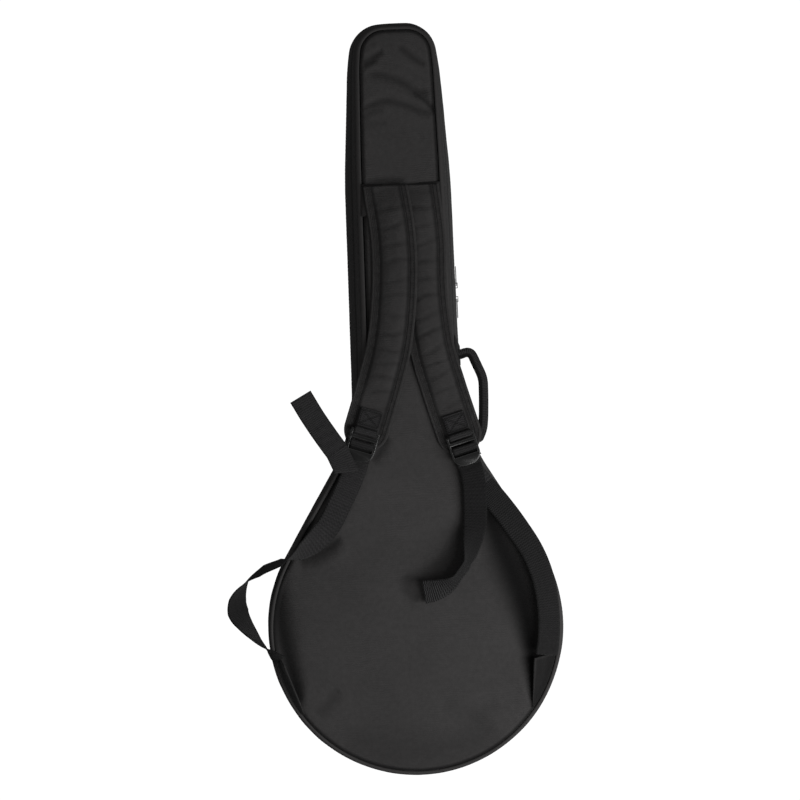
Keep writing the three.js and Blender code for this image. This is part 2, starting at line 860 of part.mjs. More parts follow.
// Side outline of a thin strip that follows a broken line
function ribbonSide(middleLine, thickness) {
  const points = middleLine.map(([x, y]) => new THREE.Vector2(x, y));
  const normals = points.slice(1).map((point, i) => {
    const along = point.clone().sub(points[i]).normalize();
    return new THREE.Vector2(-along.y, along.x);
  });
  const offsets = points.map((point, i) => {
    const before = normals[Math.max(i - 1, 0)];
    const after = normals[Math.min(i, normals.length - 1)];
    const mitre = before.clone().add(after).normalize();
    return mitre.multiplyScalar(thickness / 2 / mitre.dot(after));
  });
  const upper = points.map((point, i) => point.clone().add(offsets[i]));
  const lower = points.map((point, i) => point.clone().sub(offsets[i]));
  return new THREE.Shape([...upper, ...lower.reverse()]);
}

const squareCorners = [
  [-1, -1],
  [1, -1],
  [1, 1],
  [-1, 1],
];

function squareOutline() {
  return squareCorners.map(([x, y]) => new THREE.Vector2(x, y));
}

// Thin strip through rows of a centre, a direction across and a direction out of its face
function flatStrip(rows, thickness = webbingThickness) {
  const sections = rows.map(({ centre, across, face, width = webbingWidth }) =>
    squareCorners.map(([u, v]) => {
      const point = centre.clone().addScaledVector(across, (u * width) / 2);
      return point.addScaledVector(face, (v * thickness) / 2);
    }),
  );
  return loft(sections, squareOutline());
}

// Flat webbing along a smooth route with a roll at each point. Its first edge may be given.
function ribbon(points, rolls, steps, firstAcross = null) {
  const curve = new THREE.CatmullRomCurve3(points, false, "centripetal");
  const rollPairs = rolls.map((roll, i) => [i / (rolls.length - 1), roll * degree]);
  const rows = [];
  for (let k = 0; k <= steps; k++) {
    const share = k / steps;
    const along = curve.getTangent(share);
    const level = new THREE.Vector3().crossVectors(along, up).normalize();
    const roll = alongShares(rollPairs, share);
    const across = level.clone().multiplyScalar(Math.cos(roll));
    across.addScaledVector(new THREE.Vector3().crossVectors(level, along), Math.sin(roll));
    if (firstAcross && k === 0) across.copy(firstAcross).multiplyScalar(Math.sign(firstAcross.dot(level)));
    const face = new THREE.Vector3().crossVectors(across, along).normalize();
    rows.push({ centre: curve.getPoint(share), across, face });
  }
  return flatStrip(rows);
}

function routePoints(shares) {
  return shares.map(([x, y, height]) => new THREE.Vector3(x * bodyRadius, y * bodyRadius, bagDepth + height * webbingWidth));
}

const routeRolls = (shares) => shares.map((row) => row[3]);
const up = new THREE.Vector3(0, 0, 1);

// Webbing that leaves a lock at a height over the strap and follows a route. A lock that lies off the route's start
// draws the first of its points along.
function lockRibbon(end, height, shares, exitShares, steps) {
  const first = end.localToWorld(new THREE.Vector3(0, lockLength + clearance, height));
  const second = end.localToWorld(new THREE.Vector3(0, lockLength + webbingExit, height));
  const across = new THREE.Vector3(1, 0, 0).applyQuaternion(end.quaternion);
  const slip = new THREE.Vector3(first.x - exitShares[0] * bodyRadius, first.y - exitShares[1] * bodyRadius, 0);
  const route = routePoints(shares).map((point, i) => point.addScaledVector(slip, 1 - i / (shares.length - 1)));
  const points = [first, second, ...route];
  return ribbon(points, [0, 0, ...routeRolls(shares)], steps, across);
}

// Start of the left tail: out of the lock, round the fold and back over it
function foldGeometry(end, height) {
  const first = end.localToWorld(new THREE.Vector3(0, lockLength + clearance, height));
  const firstAcross = new THREE.Vector3(-1, 0, 0).applyQuaternion(end.quaternion);
  const along = new THREE.Vector3(Math.cos(foldSlant), Math.sin(foldSlant), 0);
  const out = new THREE.Vector3(Math.sin(foldSlant), -Math.cos(foldSlant), 0);
  const [x, y] = foldPlaceShares;
  const middle = first.clone().add(new THREE.Vector3(x * webbingWidth, y * webbingWidth, foldRadius));
  const rows = [{ centre: first, across: firstAcross, face: up }];
  for (const turn of foldTurns) {
    const centre = middle.clone().addScaledVector(out, foldRadius * Math.sin(turn));
    centre.z -= foldRadius * Math.cos(turn);
    const face = up.clone().multiplyScalar(Math.cos(turn)).addScaledVector(out, -Math.sin(turn));
    rows.push({ centre, across: along, face, width: foldWidth });
  }
  const [last, next] = leftTailPoints(end, height);
  const tail = next.clone().sub(last).setZ(0).normalize();
  const centre = last.clone().addScaledVector(tail, -clearance);
  rows.push({ centre, across: new THREE.Vector3().crossVectors(tail, up), face: up.clone().negate() });
  return flatStrip(rows);
}

function leftTailPoints(end, height) {
  const first = end.localToWorld(new THREE.Vector3(0, lockLength + clearance, height));
  return leftTailShares.map(([x, y, rise]) => {
    const place = new THREE.Vector3(first.x + x * webbingWidth, first.y + y * webbingWidth, bagDepth);
    return place.addScaledVector(up, rise * webbingWidth);
  });
}

function leftTail(end, height) {
  const points = leftTailPoints(end, height);
  const tail = points[1].clone().sub(points[0]).setZ(0).normalize();
  const across = new THREE.Vector3().crossVectors(tail, up);
  return ribbon(points, points.map(() => 0), tailSteps, across);
}

// Wing tab: a strip from an arc of the panel's edge to its inner fold, which stands up where the webbing is sewn
function wing(span) {
  const radius = panelOutline.radius - pipingRoom - clearance;
  const level = bagDepth + clearance + wingThickness / 2;
  const onEdge = (angle, reach) => new THREE.Vector3(reach * Math.cos(angle), reach * Math.sin(angle), level);
  const [x, y, rise] = span.innerShares;
  const corner = new THREE.Vector3(x * panelOutline.radius, y * panelOutline.radius, level + rise * webbingWidth);
  const foldEnd = onEdge(span.to, radius - wingEndWidth);
  const rows = [...Array(wingSteps + 1).keys()].map((k) => {
    const outer = onEdge(span.from + ((span.to - span.from) * k) / wingSteps, radius);
    const inner = corner.clone().lerp(foldEnd, k / wingSteps);
    const across = inner.clone().sub(outer).normalize();
    const along = new THREE.Vector3().crossVectors(across, up).normalize();
    const face = new THREE.Vector3().crossVectors(along, across).normalize();
    return { centre: outer.clone().lerp(inner, 0.5), across, face, width: outer.distanceTo(inner) };
  });
  return flatStrip(rows, wingThickness);
}

// Station on the right side of the wall at a height along the bag
function stationAt(y) {
  const points = outline(wallOutline, 0);
  for (let k = 0; k < stationCount / 2; k++) {
    if (points[k].y <= y && y < points[k + 1].y) return k + (y - points[k].y) / (points[k + 1].y - points[k].y);
  }
  throw new Error("no station at " + y);
}

function handleTab(y) {
  const outer = -handleTabGap - handleTabThickness;
  const low = handleHeight - half - handleTabHeight / 2;
  const profile = wallProfile(outer, -handleTabGap, low, low + handleTabHeight);
  return wallStrip(profile, 1, stationAt(y - handleTabLength / 2), stationAt(y + handleTabLength / 2));
}

function handleRoot(y) {
  const root = shellPoint(stationAt(y), -handleTabGap - handleTabThickness - handleRootGap, handleHeight);
  root.z = 0;
  return root;
}

// Grip seen from above, from the upper root out and down to the lower root
function handleGeometry() {
  const upper = handleRoot(handleUpper);
  const lower = handleRoot(handleLower);
  const line = lower.clone().sub(upper).normalize();
  const out = new THREE.Vector3(-line.y, line.x, 0);
  const span = upper.distanceTo(lower);
  const noseShare = handleRootHalf / handleReach;
  const points = [[0, noseShare], ...handleShares, [1, noseShare]].map(([along, reach]) => {
    const point = upper.clone().addScaledVector(line, along * span);
    return point.addScaledVector(out, reach * handleReach);
  });
  const curve = new THREE.CatmullRomCurve3(points, false, "centripetal");
  const round = roundProfile(new THREE.Vector2(), 1, 8);
  const sections = [];
  const addSection = (centre, side, thick) => {
    const corners = round.map(({ x, y }) => {
      const point = centre.clone().addScaledVector(side, (x * handleWidth) / 2);
      point.z = handleHeight + y * thick;
      return point;
    });
    sections.push(corners);
  };
  const addNose = (share, side, turn) => {
    const centre = curve.getPoint(share).addScaledVector(out, -handleRootHalf * Math.sin(turn));
    addSection(centre, side, handleRootHalf * Math.cos(turn));
  };
  for (const turn of handleNoseTurns) addNose(0, line.clone().negate(), turn);
  for (let k = 0; k <= handleSteps; k++) {
    const share = k / handleSteps;
    const inward = out.clone().negate();
    const along = k === 0 ? out : k === handleSteps ? inward : curve.getTangent(share);
    const grip = Math.min(1, Math.min(share, 1 - share) / handleTaperShare);
    const thick = handleRootHalf + (handleGripHalf - handleRootHalf) * grip;
    addSection(curve.getPoint(share), new THREE.Vector3(-along.y, along.x, 0), thick);
  }
  for (const turn of [...handleNoseTurns].reverse()) addNose(1, line, turn);
  return loft(sections, round);
}

addHalf("back", 1);
addHalf("front", -1);
addSpine();
addSlider("upper", 1);
addSlider("lower", -1);

const yoke = rectangle(yokeCentre - yokeWidth / 2, yokeTop - yokeHeight, yokeCentre + yokeWidth / 2, yokeTop);
const yokeSolid = extruded(new THREE.Shape(yoke.getPoints()), yokeThickness);
yokeSolid.translate(0, 0, bagDepth + clearance);
addPiece("strap_yoke", yokeSolid, materials.cloth);

const underHeight = clearance + webbingThickness / 2;
const tailHeight = tailRise + webbingThickness / 2;
const straps = {
  left: { curve: strapCurve(leftStrapShares, leftStrapRun), climbs: true },
  right: { curve: strapCurve(rightStrapShares, rightStrapRun), climbs: false },
};
for (const [name, { curve, climbs }] of Object.entries(straps)) {
  addPiece("shoulder_strap_" + name, strapPad(curve, climbs), materials.cloth);
  addPiece("strap_binding_" + name, strapEdge(curve, climbs), materials.webbing);
  const end = endGroup(curve);
  straps[name].end = end;
  addPiece("strap_loop_" + name, strapLoop(), materials.webbing, end);
  addPiece("ladder_lock_" + name, lockGeometry(), materials.plastic, end);
  addPiece("webbing_turn_" + name, turnGeometry(), materials.webbing, end);
}
bag.updateMatrixWorld(true);

const leftEnd = straps.left.end;
const rightEnd = straps.right.end;
const lowerLeft = lockRibbon(leftEnd, underHeight, lowerLeftShares, leftExitShares, lowerLeftSteps);
const lowerRight = lockRibbon(rightEnd, underHeight, lowerRightShares, rightExitShares, lowerRightSteps);
const rightTail = lockRibbon(rightEnd, tailHeight, rightTailShares, rightExitShares, tailSteps);
addPiece("webbing_lower_left", lowerLeft, materials.webbing);
addPiece("webbing_lower_right", lowerRight, materials.webbing);
addPiece("webbing_fold_left", foldGeometry(leftEnd, tailHeight), materials.webbing);
addPiece("webbing_tail_left", leftTail(leftEnd, tailHeight), materials.webbing);
addPiece("webbing_tail_right", rightTail, materials.webbing);
addPiece("wing_tab_left", wing(leftWing), materials.cloth);
addPiece("wing_tab_right", wing(rightWing), materials.cloth);
addPiece("handle_tab_upper", handleTab(handleUpper), materials.cloth);
addPiece("handle_tab_lower", handleTab(handleLower), materials.cloth);
addPiece("carry_handle", handleGeometry(), materials.webbing);

export default bag;
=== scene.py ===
"""Looks of a padded banjo bag that lies on its front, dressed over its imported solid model."""

import math

import bmesh
import bpy
from mathutils import Matrix, Vector, kdtree, noise


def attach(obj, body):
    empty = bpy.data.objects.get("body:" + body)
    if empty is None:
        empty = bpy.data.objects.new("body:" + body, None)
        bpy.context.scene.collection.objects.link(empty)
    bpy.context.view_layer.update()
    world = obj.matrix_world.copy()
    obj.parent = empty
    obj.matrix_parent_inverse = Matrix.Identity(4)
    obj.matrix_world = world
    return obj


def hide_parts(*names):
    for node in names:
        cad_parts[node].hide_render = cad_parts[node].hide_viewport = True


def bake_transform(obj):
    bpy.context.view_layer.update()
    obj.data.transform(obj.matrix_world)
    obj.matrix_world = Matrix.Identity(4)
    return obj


bl_info = {
    "name": "Padded banjo bag",
    "version": (1, 0, 0),
    "blender": (4, 5, 0),
    "location": "View3D > Sidebar > Banjo Bag",
    "description": "Builds the cloth, zip, straps and webbing of a padded banjo bag",
    "category": "Add Mesh",
}

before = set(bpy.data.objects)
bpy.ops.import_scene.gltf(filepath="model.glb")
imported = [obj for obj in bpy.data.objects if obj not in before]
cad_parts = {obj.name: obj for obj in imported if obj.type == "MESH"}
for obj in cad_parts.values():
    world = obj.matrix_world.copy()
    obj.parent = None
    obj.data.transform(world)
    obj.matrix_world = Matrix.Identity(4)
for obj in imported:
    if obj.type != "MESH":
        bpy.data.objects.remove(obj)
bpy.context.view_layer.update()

MM = 0.001
TAU = 2 * math.pi
UP = Vector((0, 0, 1))

# Sizes of the solid model, in metres
DEPTH = 110 * MM
HALF = DEPTH / 2
BODY_RADIUS = 198 * MM
NECK_HALF = 73 * MM
BAG_LENGTH = 1010 * MM
# Outlines of the walls and the panels, with the turns of the neck's upper bends in degrees
WALL = {
    "radius": BODY_RADIUS, "neck": NECK_HALF, "top": BAG_LENGTH - BODY_RADIUS, "corner": 41 * MM,
    "turns": (3.2, 6.5),
}
PANEL = {"radius": 194 * MM, "neck": 57 * MM, "top": 802.5 * MM, "corner": 36 * MM, "turns": (0.8, 5)}
NECK_SHIFT = 4 * MM
# First and last station of the spine
SPINE = (7, 12)
# The two halves: which way each faces, and its name
SIDES = ((1, "back"), (-1, "front"))
STRAP_BASE = DEPTH + 2.1 * MM
STRAP_TOP = 590 * MM
STRAP_HALF = 30 * MM
PAD_HALF = 17 * MM
PAD_EDGE = 3.6 * MM
PAD_CROWN = 9 * MM
# Straps: length, and the middle line's place across in shares of the neck's half width
STRAPS = {
    "left": {
        "run": 322 * MM,
        "climbs": True,
        "shares": [(0, -0.23), (0.22, -0.12), (0.43, -0.14), (0.65, -0.27), (0.81, -0.47), (1, -0.75)],
    },
    "right": {
        "run": 332 * MM,
        "climbs": False,
        "shares": [(0, 0.34), (0.22, 0.42), (0.43, 0.41), (0.65, 0.5), (0.81, 0.68), (1, 0.93)],
    },
}
# Climb of the upper strap and crown of the padding: share of the run, share of the full height
CLIMB = [(0, 0.56), (0.1, 1), (0.66, 1), (0.86, 0), (1, 0)]
CROWN = [(0, 0), (0.1, 1), (0.78, 1), (0.87, 0.26), (1, 0.26)]
WEBBING = 32 * MM
WEB_THICK = 1.3 * MM
LOCK_LENGTH = 42 * MM
# Heights of the webbing's lower and upper run in a lock's frame
LOW_RUN = 0.95 * MM
HIGH_RUN = 2.85 * MM
# Routes of the webbing: place in shares of the body's radius, height in shares of the webbing's width, roll
LOWER_LEFT = [
    (-0.39, 1.03, 0.16, 0), (-0.46, 0.89, 0.13, 0), (-0.57, 0.7, 0.13, 0), (-0.73, 0.56, 0.42, 45),
    (-0.883, 0.49, 0.55, 102), (-1.015, 0.434, 0.33, 106), (-1.128, 0.362, 0.06, 88),
    (-1.19, 0.245, -0.08, 50), (-1.19, 0.16, -0.1, 34), (-1.15, 0.075, -0.04, 56), (-1.075, -0.022, 0.24, 80),
    (-1.014, -0.08, 0.46, 96), (-0.965, -0.118, 0.48, 114), (-0.918, -0.162, 0.42, 128),
]
LOWER_RIGHT = [
    (0.49, 0.95, 0.13, 0), (0.585, 0.83, 0.13, 0), (0.7, 0.665, 0.16, 8), (0.81, 0.475, 0.2, 16),
    (0.875, 0.27, 0.23, 20), (0.895, 0.05, 0.23, 20), (0.885, -0.1, 0.23, 20), (0.87, -0.205, 0.23, 20),
]
TAIL_RIGHT = [
    (0.43, 0.95, 0.3, 0), (0.43, 0.8, 0.26, 0), (0.423, 0.69, 0.25, 8), (0.4, 0.57, 0.38, 35),
    (0.36, 0.44, 0.52, 68), (0.29, 0.34, 0.5, 62), (0.21, 0.285, 0.42, 40), (0.13, 0.26, 0.36, 18),
    (0.063, 0.25, 0.36, 6),
]
# Fold and route of the left tail, from the lock's end, in shares of the webbing's width
FOLD_PLACE = (-0.476, -0.312)
TAIL_LEFT = [(-0.819, 0.469, 0.52), (-1.257, 1.125, 0.53), (-1.725, 1.875, 0.56), (-2.225, 2.782, 0.62)]
# Middle line of the carry handle seen from above, in millimetres
HANDLE = [(70.5, 362), (88.5, 367.5), (104.3, 330), (104, 306), (102.8, 278), (101, 262), (93.5, 246)]
HANDLE_LEVEL = 82 * MM
# Wing tabs: first and last angle, the inner corner in shares of the panel's radius and the webbing's width,
# and the share by which they reach up over the webbing's end
WING_REACH = 0.07
WINGS = {"right": (-13.5, -36, (0.798, -0.248, 0.4)), "left": (188.5, 215, (-0.897, -0.22, 0.72))}
# Folds of the back panel and lines of painted shadow, in millimetres: places with half width and depth,
# and the shade painted along them. The folds get painted shade in their hollows; lines of little or no
# depth are painted shadows beside the webbing, the tails and the strap tips, and the broad one with no
# depth paints shade towards the bottom.
FOLDS_AND_SHADE = [
    ([(-42, 755, 5, 2.2), (-27, 763, 5, 3), (-11, 772, 4, 1.5)], 0.45),
    ([(-44, 748, 4, 1.4), (-30, 756, 4, 1.6), (-20, 758, 3, 0.6)], 0.25),
    ([(6, 778, 5, 1.2), (20, 766, 5, 2.6), (30, 758, 5, 2.6), (44, 748, 4, 1.6)], 0.42),
    ([(-38, 742, 5, 1.4), (-12, 738, 6, 2.4), (8, 730, 6, 3), (27, 717, 6, 3.2), (49, 711, 5, 2.2)], 0.42),
    ([(22, 716, 3, 1.4), (38, 705, 4, 3.2), (50, 692, 4, 3.8), (56, 685, 3, 3)], 0.6),
    ([
        (-48, 690, 4, 1.6), (-30, 700, 5, 2.4), (-12, 705, 5, 2.6), (12, 699, 5, 2.6), (34, 689, 5, 3),
        (54, 684, 4, 2.4),
    ], 0.42),
    ([(-48, 680, 4, 1.2), (-32, 689, 4, 1.6), (-14, 692, 4, 1)], 0.25),
    ([(-50, 670, 5, 0.8), (-30, 676, 5, 1.2), (-10, 674, 5, 0.5)], 0.15),
    ([(-46, 597, 4, 1), (-17, 600, 4, 1.6), (12, 599, 4, 0.8)], 0.3),
    ([(-103, -76, 8, 1), (-121, -93, 9, 2.4), (-140, -110, 8, 1.4)], 0.2),
    ([(28, -96, 12, 0.6), (67, -116, 14, 1.6), (108, -100, 12, 0.6)], 0.1),
    ([(-92, 126, 6, 1), (-112, 113, 10, 5), (-134, 104, 12, 7), (-156, 96, 9, 5)], 0.6),
    ([
        (-180, 104, 8, 3), (-184, 82, 12, 5), (-183, 46, 15, 7), (-178, -2, 16, 8), (-172, -37, 13, 8),
        (-165, -74, 9, 7), (-158, -104, 5, 4),
    ], 0.84),
    ([
        (96, 172, 8, 2), (103, 144, 19, 5), (116, 106, 27, 7), (130, 69, 30, 8), (142, 30, 27, 8),
        (150, -13, 19, 8), (154, -50, 12, 8), (154, -92, 7, 5), (153, -112, 4, 2),
    ], 0.92),
    ([
        (-104, -132, 34, 0), (-50, -158, 42, 0), (10, -164, 42, 0), (70, -152, 38, 0), (110, -128, 30, 0),
    ], 0.24),
    ([(-60, 555, 4, 2), (-57, 500, 5, 3), (-55, 440, 5, 3), (-57, 380, 5, 2.5), (-64, 340, 4, 1)], 0.35),
    ([(66, 140, 7, 0.3), (54, 106, 11, 0.8), (34, 86, 13, 0.8), (10, 72, 13, 0.6), (-16, 66, 9, 0.3)], 0.32),
    ([(-14, 74, 9, 0.5), (-8, 52, 12, 0.8), (6, 36, 9, 0.5)], 0.32),
    ([(100, 224, 6, 1), (106, 206, 8, 2), (112, 187, 8, 2), (116, 170, 6, 1)], 0.75),
    ([(48, 264, 5, 1), (57, 237, 7, 1.5), (68, 216, 6, 1.5)], 0.55),
    ([(-26, 260, 5, 1), (-37, 240, 7, 1.5), (-49, 224, 6, 1.5)], 0.5),
]


class BagSettings(bpy.types.PropertyGroup):
    """Sizes and colours of the bag's cloth"""

    panel_puff: bpy.props.FloatProperty(
        name="Panel puff", description="Height of the padding's swell over the seams", default=1.6 * MM,
        unit="LENGTH",
    )
    wrinkle: bpy.props.FloatProperty(
        name="Wrinkles", description="Depth of the soft wrinkles in the panels", default=0.9 * MM,
        unit="LENGTH",
    )
    piping: bpy.props.FloatProperty(
        name="Piping", description="Radius of the piping in the seams", default=2.6 * MM, unit="LENGTH"
    )
    cloth: bpy.props.FloatVectorProperty(
        name="Cloth", description="Colour of the outer cloth", default=(0.0325, 0.0312, 0.0312),
        subtype="COLOR",
    )
    webbing: bpy.props.FloatVectorProperty(
        name="Webbing", description="Colour of the webbing", default=(0.0172, 0.0168, 0.0172), subtype="COLOR"
    )
    lining: bpy.props.FloatVectorProperty(
        name="Lining", description="Colour of the inner lining", default=(0.06, 0.061, 0.066), subtype="COLOR"
    )
    plastic: bpy.props.FloatVectorProperty(
        name="Plastic", description="Colour of the ladder locks", default=(0.0045, 0.0045, 0.0045),
        subtype="COLOR",
    )


class StageSettings(bpy.types.PropertyGroup):
    """Camera and light"""

    height: bpy.props.FloatProperty(
        name="Camera height", description="Camera over the zip's level", default=2.6, unit="LENGTH"
    )
    width: bpy.props.FloatProperty(
        name="Frame width", description="Width of the picture at the zip's level", default=1.088,
        unit="LENGTH",
    )
    light: bpy.props.FloatProperty(
        name="Light", description="Power of the soft light over the body", default=9.8
    )
    fill: bpy.props.FloatProperty(
        name="Fill", description="Strength of the light from all round", default=0.23
    )
    roll: bpy.props.FloatProperty(
        name="Roll", description="Turn of the picture", default=math.radians(2.33), subtype="ANGLE"
    )


def settings():
    return bpy.context.scene.banjo_bag


# Curves and outlines


def along_pairs(pairs, place):
    for (a, low), (b, high) in zip(pairs, pairs[1:]):
        if place <= b:
            return low + (high - low) * (place - a) / (b - a)
    return pairs[-1][1]


def smooth(low, high, x):
    t = min(max((x - low) / (high - low), 0), 1)
    return t * t * (3 - 2 * t)


def bell(x, middle, width):
    return math.exp(-(((x - middle) / width) ** 2))


def uneven(x, y, z):
    """Soft noise between -1 and 1"""
    return noise.noise(Vector((x, y, z)))


def running_lengths(spots):
    lengths = [0.0]
    for a, b in zip(spots, spots[1:]):
        lengths.append(lengths[-1] + (b - a).length)
    return lengths


def stretch_at(lengths, length):
    """Stretch of a broken line that holds a length, and the share along it"""
    index = max(k for k in range(len(lengths) - 1) if lengths[k] <= length + 1e-9)
    return index, (length - lengths[index]) / (lengths[index + 1] - lengths[index])


def bend_step(radius, heading, turn):
    return Vector((
        radius * (math.sin(heading + turn) - math.sin(heading)),
        radius * (math.cos(heading) - math.cos(heading + turn)),
    ))


def stretches(size):
    """Bends (radius, turn, steps) and straight runs (None, length, steps) of the right half, bottom up"""
    lean, neck = math.radians(31), math.radians(0.4)
    upper, temple = (math.radians(turn) for turn in size["turns"])
    crown = math.radians(4)
    rows = [
        [size["radius"], math.pi / 2 + lean, 13], [None, 0, 1], [-220 * MM, neck - lean, 4], [None, 0, 3],
        [1150 * MM, upper, 2], [None, 100 * MM, 3], [350 * MM, temple, 2], [size["corner"], 0, 6],
        [160 * MM, crown, 1], [None, 0, 1],
    ]
    rows[7][1] = math.pi - sum(turn for radius, turn, _ in rows if radius is not None)

    def reach(first, last):
        heading = sum(turn for radius, turn, _ in rows[:first] if radius is not None)
        total = Vector((0, 0))
        for radius, amount, _ in rows[first:last]:
            if radius is None:
                total += Vector((math.cos(heading), math.sin(heading))) * amount
            else:
                total += bend_step(radius, heading, amount)
                heading += amount
        return total

    rows[1][1] = (reach(0, 3).x - size["neck"]) / math.sin(lean)
    rows[3][1] = (size["top"] + size["radius"] - reach(0, 10).y) / math.cos(neck)
    rows[9][1] = reach(0, 10).x
    return rows


# Points of the outline for each station
FINE = 6


def make_outline(size):
    """Points and inward directions round the bag, FINE of them for each station"""
    points, inward = [Vector((0, -size["radius"]))], [Vector((0, 1))]
    heading = 0
    for radius, amount, steps in stretches(size):
        for _ in range(steps * FINE):
            if radius is None:
                move = Vector((math.cos(heading), math.sin(heading))) * amount / (steps * FINE)
            else:
                move = bend_step(radius, heading, amount / (steps * FINE))
                heading += amount / (steps * FINE)
            points.append(points[-1] + move)
            inward.append(Vector((-math.sin(heading), math.cos(heading))))
    mirrored = [Vector((-p.x, p.y)) for p in points[1:-1]]
    turned = [Vector((-n.x, n.y)) for n in inward[1:-1]]
    return points + mirrored[::-1], inward + turned[::-1]


WALL_RING = make_outline(WALL)
PANEL_RING = make_outline(PANEL)
STATIONS = len(WALL_RING[0]) // FINE
# Lengths along the wall's outline, twice round it
LENGTHS = running_lengths(WALL_RING[0] * 2 + WALL_RING[0][:1])


def on_ring(ring, station):
    points, inward = ring
    place = (station % STATIONS) * FINE
    low = int(place)
    high = (low + 1) % len(points)
    low %= len(points)
    t = place - int(place)
    return points[low].lerp(points[high], t), inward[low].lerp(inward[high], t).normalized()


def station_at(length):
    low, high = 0, len(LENGTHS) - 1
    while high - low > 1:
        middle = (low + high) // 2
        if LENGTHS[middle] <= length:
            low = middle
        else:
            high = middle
    return (low + (length - LENGTHS[low]) / (LENGTHS[high] - LENGTHS[low])) / FINE


def length_at(station):
    place = station * FINE
    low = int(place)
    return LENGTHS[low] + (LENGTHS[min(low + 1, len(LENGTHS) - 1)] - LENGTHS[low]) * (place - low)


ROUND = length_at(STATIONS)


def shell(station, inset, z):
    """Point of the bag's skin: a station round it, an inset from the skin and a height"""
    flat, flat_in = on_ring(PANEL_RING, station)
    wide, wide_in = on_ring(WALL_RING, station)
    swell = max(0, 1 - (abs(z - HALF) / HALF) ** 2.6)
    point = (flat + flat_in * inset).lerp(wide + wide_in * inset, swell)
    if z > HALF:
        point.x += NECK_SHIFT * smooth(0.12, 0.3, point.y) * (1 - swell)
    return Vector((point.x, point.y, z))


def route_point(points, share):
    """Point of the smooth route through the points, spaced as in the solid model"""
    place = min(max(share, 0), 1) * (len(points) - 1)
    index = min(int(place), len(points) - 2)
    t = place - index
    p1, p2 = points[index], points[index + 1]
    p0 = points[index - 1] if index else 2 * p1 - p2
    p3 = points[index + 2] if index + 2 < len(points) else 2 * p2 - p1
    d0, d1, d2 = ((a - b).length ** 0.5 for a, b in ((p0, p1), (p1, p2), (p2, p3)))
    t1 = ((p1 - p0) / d0 - (p2 - p0) / (d0 + d1) + (p2 - p1) / d1) * d1
    t2 = ((p2 - p1) / d1 - (p3 - p1) / (d1 + d2) + (p3 - p2) / d2) * d1
    return p1 + t1 * t + (3 * (p2 - p1) - 2 * t1 - t2) * t ** 2 + (2 * (p1 - p2) + t1 + t2) * t ** 3


def route_tangent(points, share):
    step = 0.0005
    return (route_point(points, share + step) - route_point(points, share - step)).normalized()


# Making pieces


def finish_piece(bm, name, material, flat=False):
    mesh = bpy.data.meshes.new(name)
    bm.to_mesh(mesh)
    bm.free()
    for polygon in mesh.polygons:
        polygon.use_smooth = not flat
    piece = bpy.data.objects.new(name, mesh)
    bpy.context.scene.collection.objects.link(piece)
    mesh.materials.append(material)
    return piece


def sheet_piece(name, material, columns, rows, place, size, thickness=0, offset=-1):
    """A grid laid on the surface that place gives, with its UV map in metres. Where place gives a second
    value too, that is the shade painted at the point, from 0 to 1; below 0 it paints a highlight."""
    bm = bmesh.new()
    layer = bm.loops.layers.uv.new("UVMap")
    painted_shade = bm.verts.layers.float.new("painted_shade")
    bmesh.ops.create_grid(bm, x_segments=columns, y_segments=rows, size=0.5)
    for face in bm.faces:
        for loop in face.loops:
            loop[layer].uv = ((loop.vert.co.x + 0.5) * size[0], (loop.vert.co.y + 0.5) * size[1])
    for vert in bm.verts:
        spot = place(min(max(vert.co.x + 0.5, 0), 1), min(max(vert.co.y + 0.5, 0), 1))
        if isinstance(spot, tuple):
            spot, vert[painted_shade] = spot
        vert.co = spot
    bmesh.ops.remove_doubles(bm, verts=bm.verts, dist=1e-6)
    piece = finish_piece(bm, name, material)
    if thickness:
        modifier = piece.modifiers.new("Thickness", "SOLIDIFY")
        modifier.thickness = thickness
        modifier.offset = offset
    return piece


def node_copy(name, node, material, bevel, segments=2, rim_highlight=0.0):
    """A merged copy of a solid node with rounded edges, with a painted highlight along them"""
    bm = bmesh.new()
    bm.from_mesh(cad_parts[node].data)
    bmesh.ops.remove_doubles(bm, verts=bm.verts, dist=2e-5)
    bmesh.ops.dissolve_limit(bm, angle_limit=math.radians(3), verts=bm.verts, edges=bm.edges)
    sharp = [e for e in bm.edges if len(e.link_faces) == 2 and e.calc_face_angle(0) > math.radians(35)]
    painted_shade = bm.verts.layers.float.new("painted_shade")
    rounded = bmesh.ops.bevel(
        bm, geom=sharp, offset=bevel, offset_type="OFFSET", segments=segments, profile=0.5, affect="EDGES",
        clamp_overlap=True, material=-1,
    )
    strip = set(rounded["faces"])
    for vert in rounded["verts"]:
        if all(face in strip for face in vert.link_faces):
            vert[painted_shade] = -rim_highlight
    piece = finish_piece(bm, name, material)
    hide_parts(node)
    return piece


# Materials


def new_material(name, color, roughness, metallic=0.0, sheen=0.0, specular=0.5):
    material = bpy.data.materials.new(name)
    material.use_nodes = True
    tree = material.node_tree
    shader = tree.nodes["Principled BSDF"]
    shader.inputs["Base Color"].default_value = (*color, 1)
    shader.inputs["Roughness"].default_value = roughness
    shader.inputs["Metallic"].default_value = metallic
    shader.inputs["Sheen Weight"].default_value = sheen
    shader.inputs["Sheen Roughness"].default_value = 0.5
    shader.inputs["Specular IOR Level"].default_value = specular
    return material, tree, shader


def add_node(tree, kind, inputs=None, **values):
    node = tree.nodes.new(kind)
    for key, value in values.items():
        setattr(node, key, value)
    for key, value in (inputs or {}).items():
        socket = node.inputs[key]
        if isinstance(value, bpy.types.NodeSocket):
            tree.links.new(value, socket)
        else:
            socket.default_value = value
    return node


def math_node(tree, operation, a, b=0.0):
    return add_node(tree, "ShaderNodeMath", {0: a, 1: b}, operation=operation).outputs[0]


def times(tree, a, b):
    return math_node(tree, "MULTIPLY", a, b)


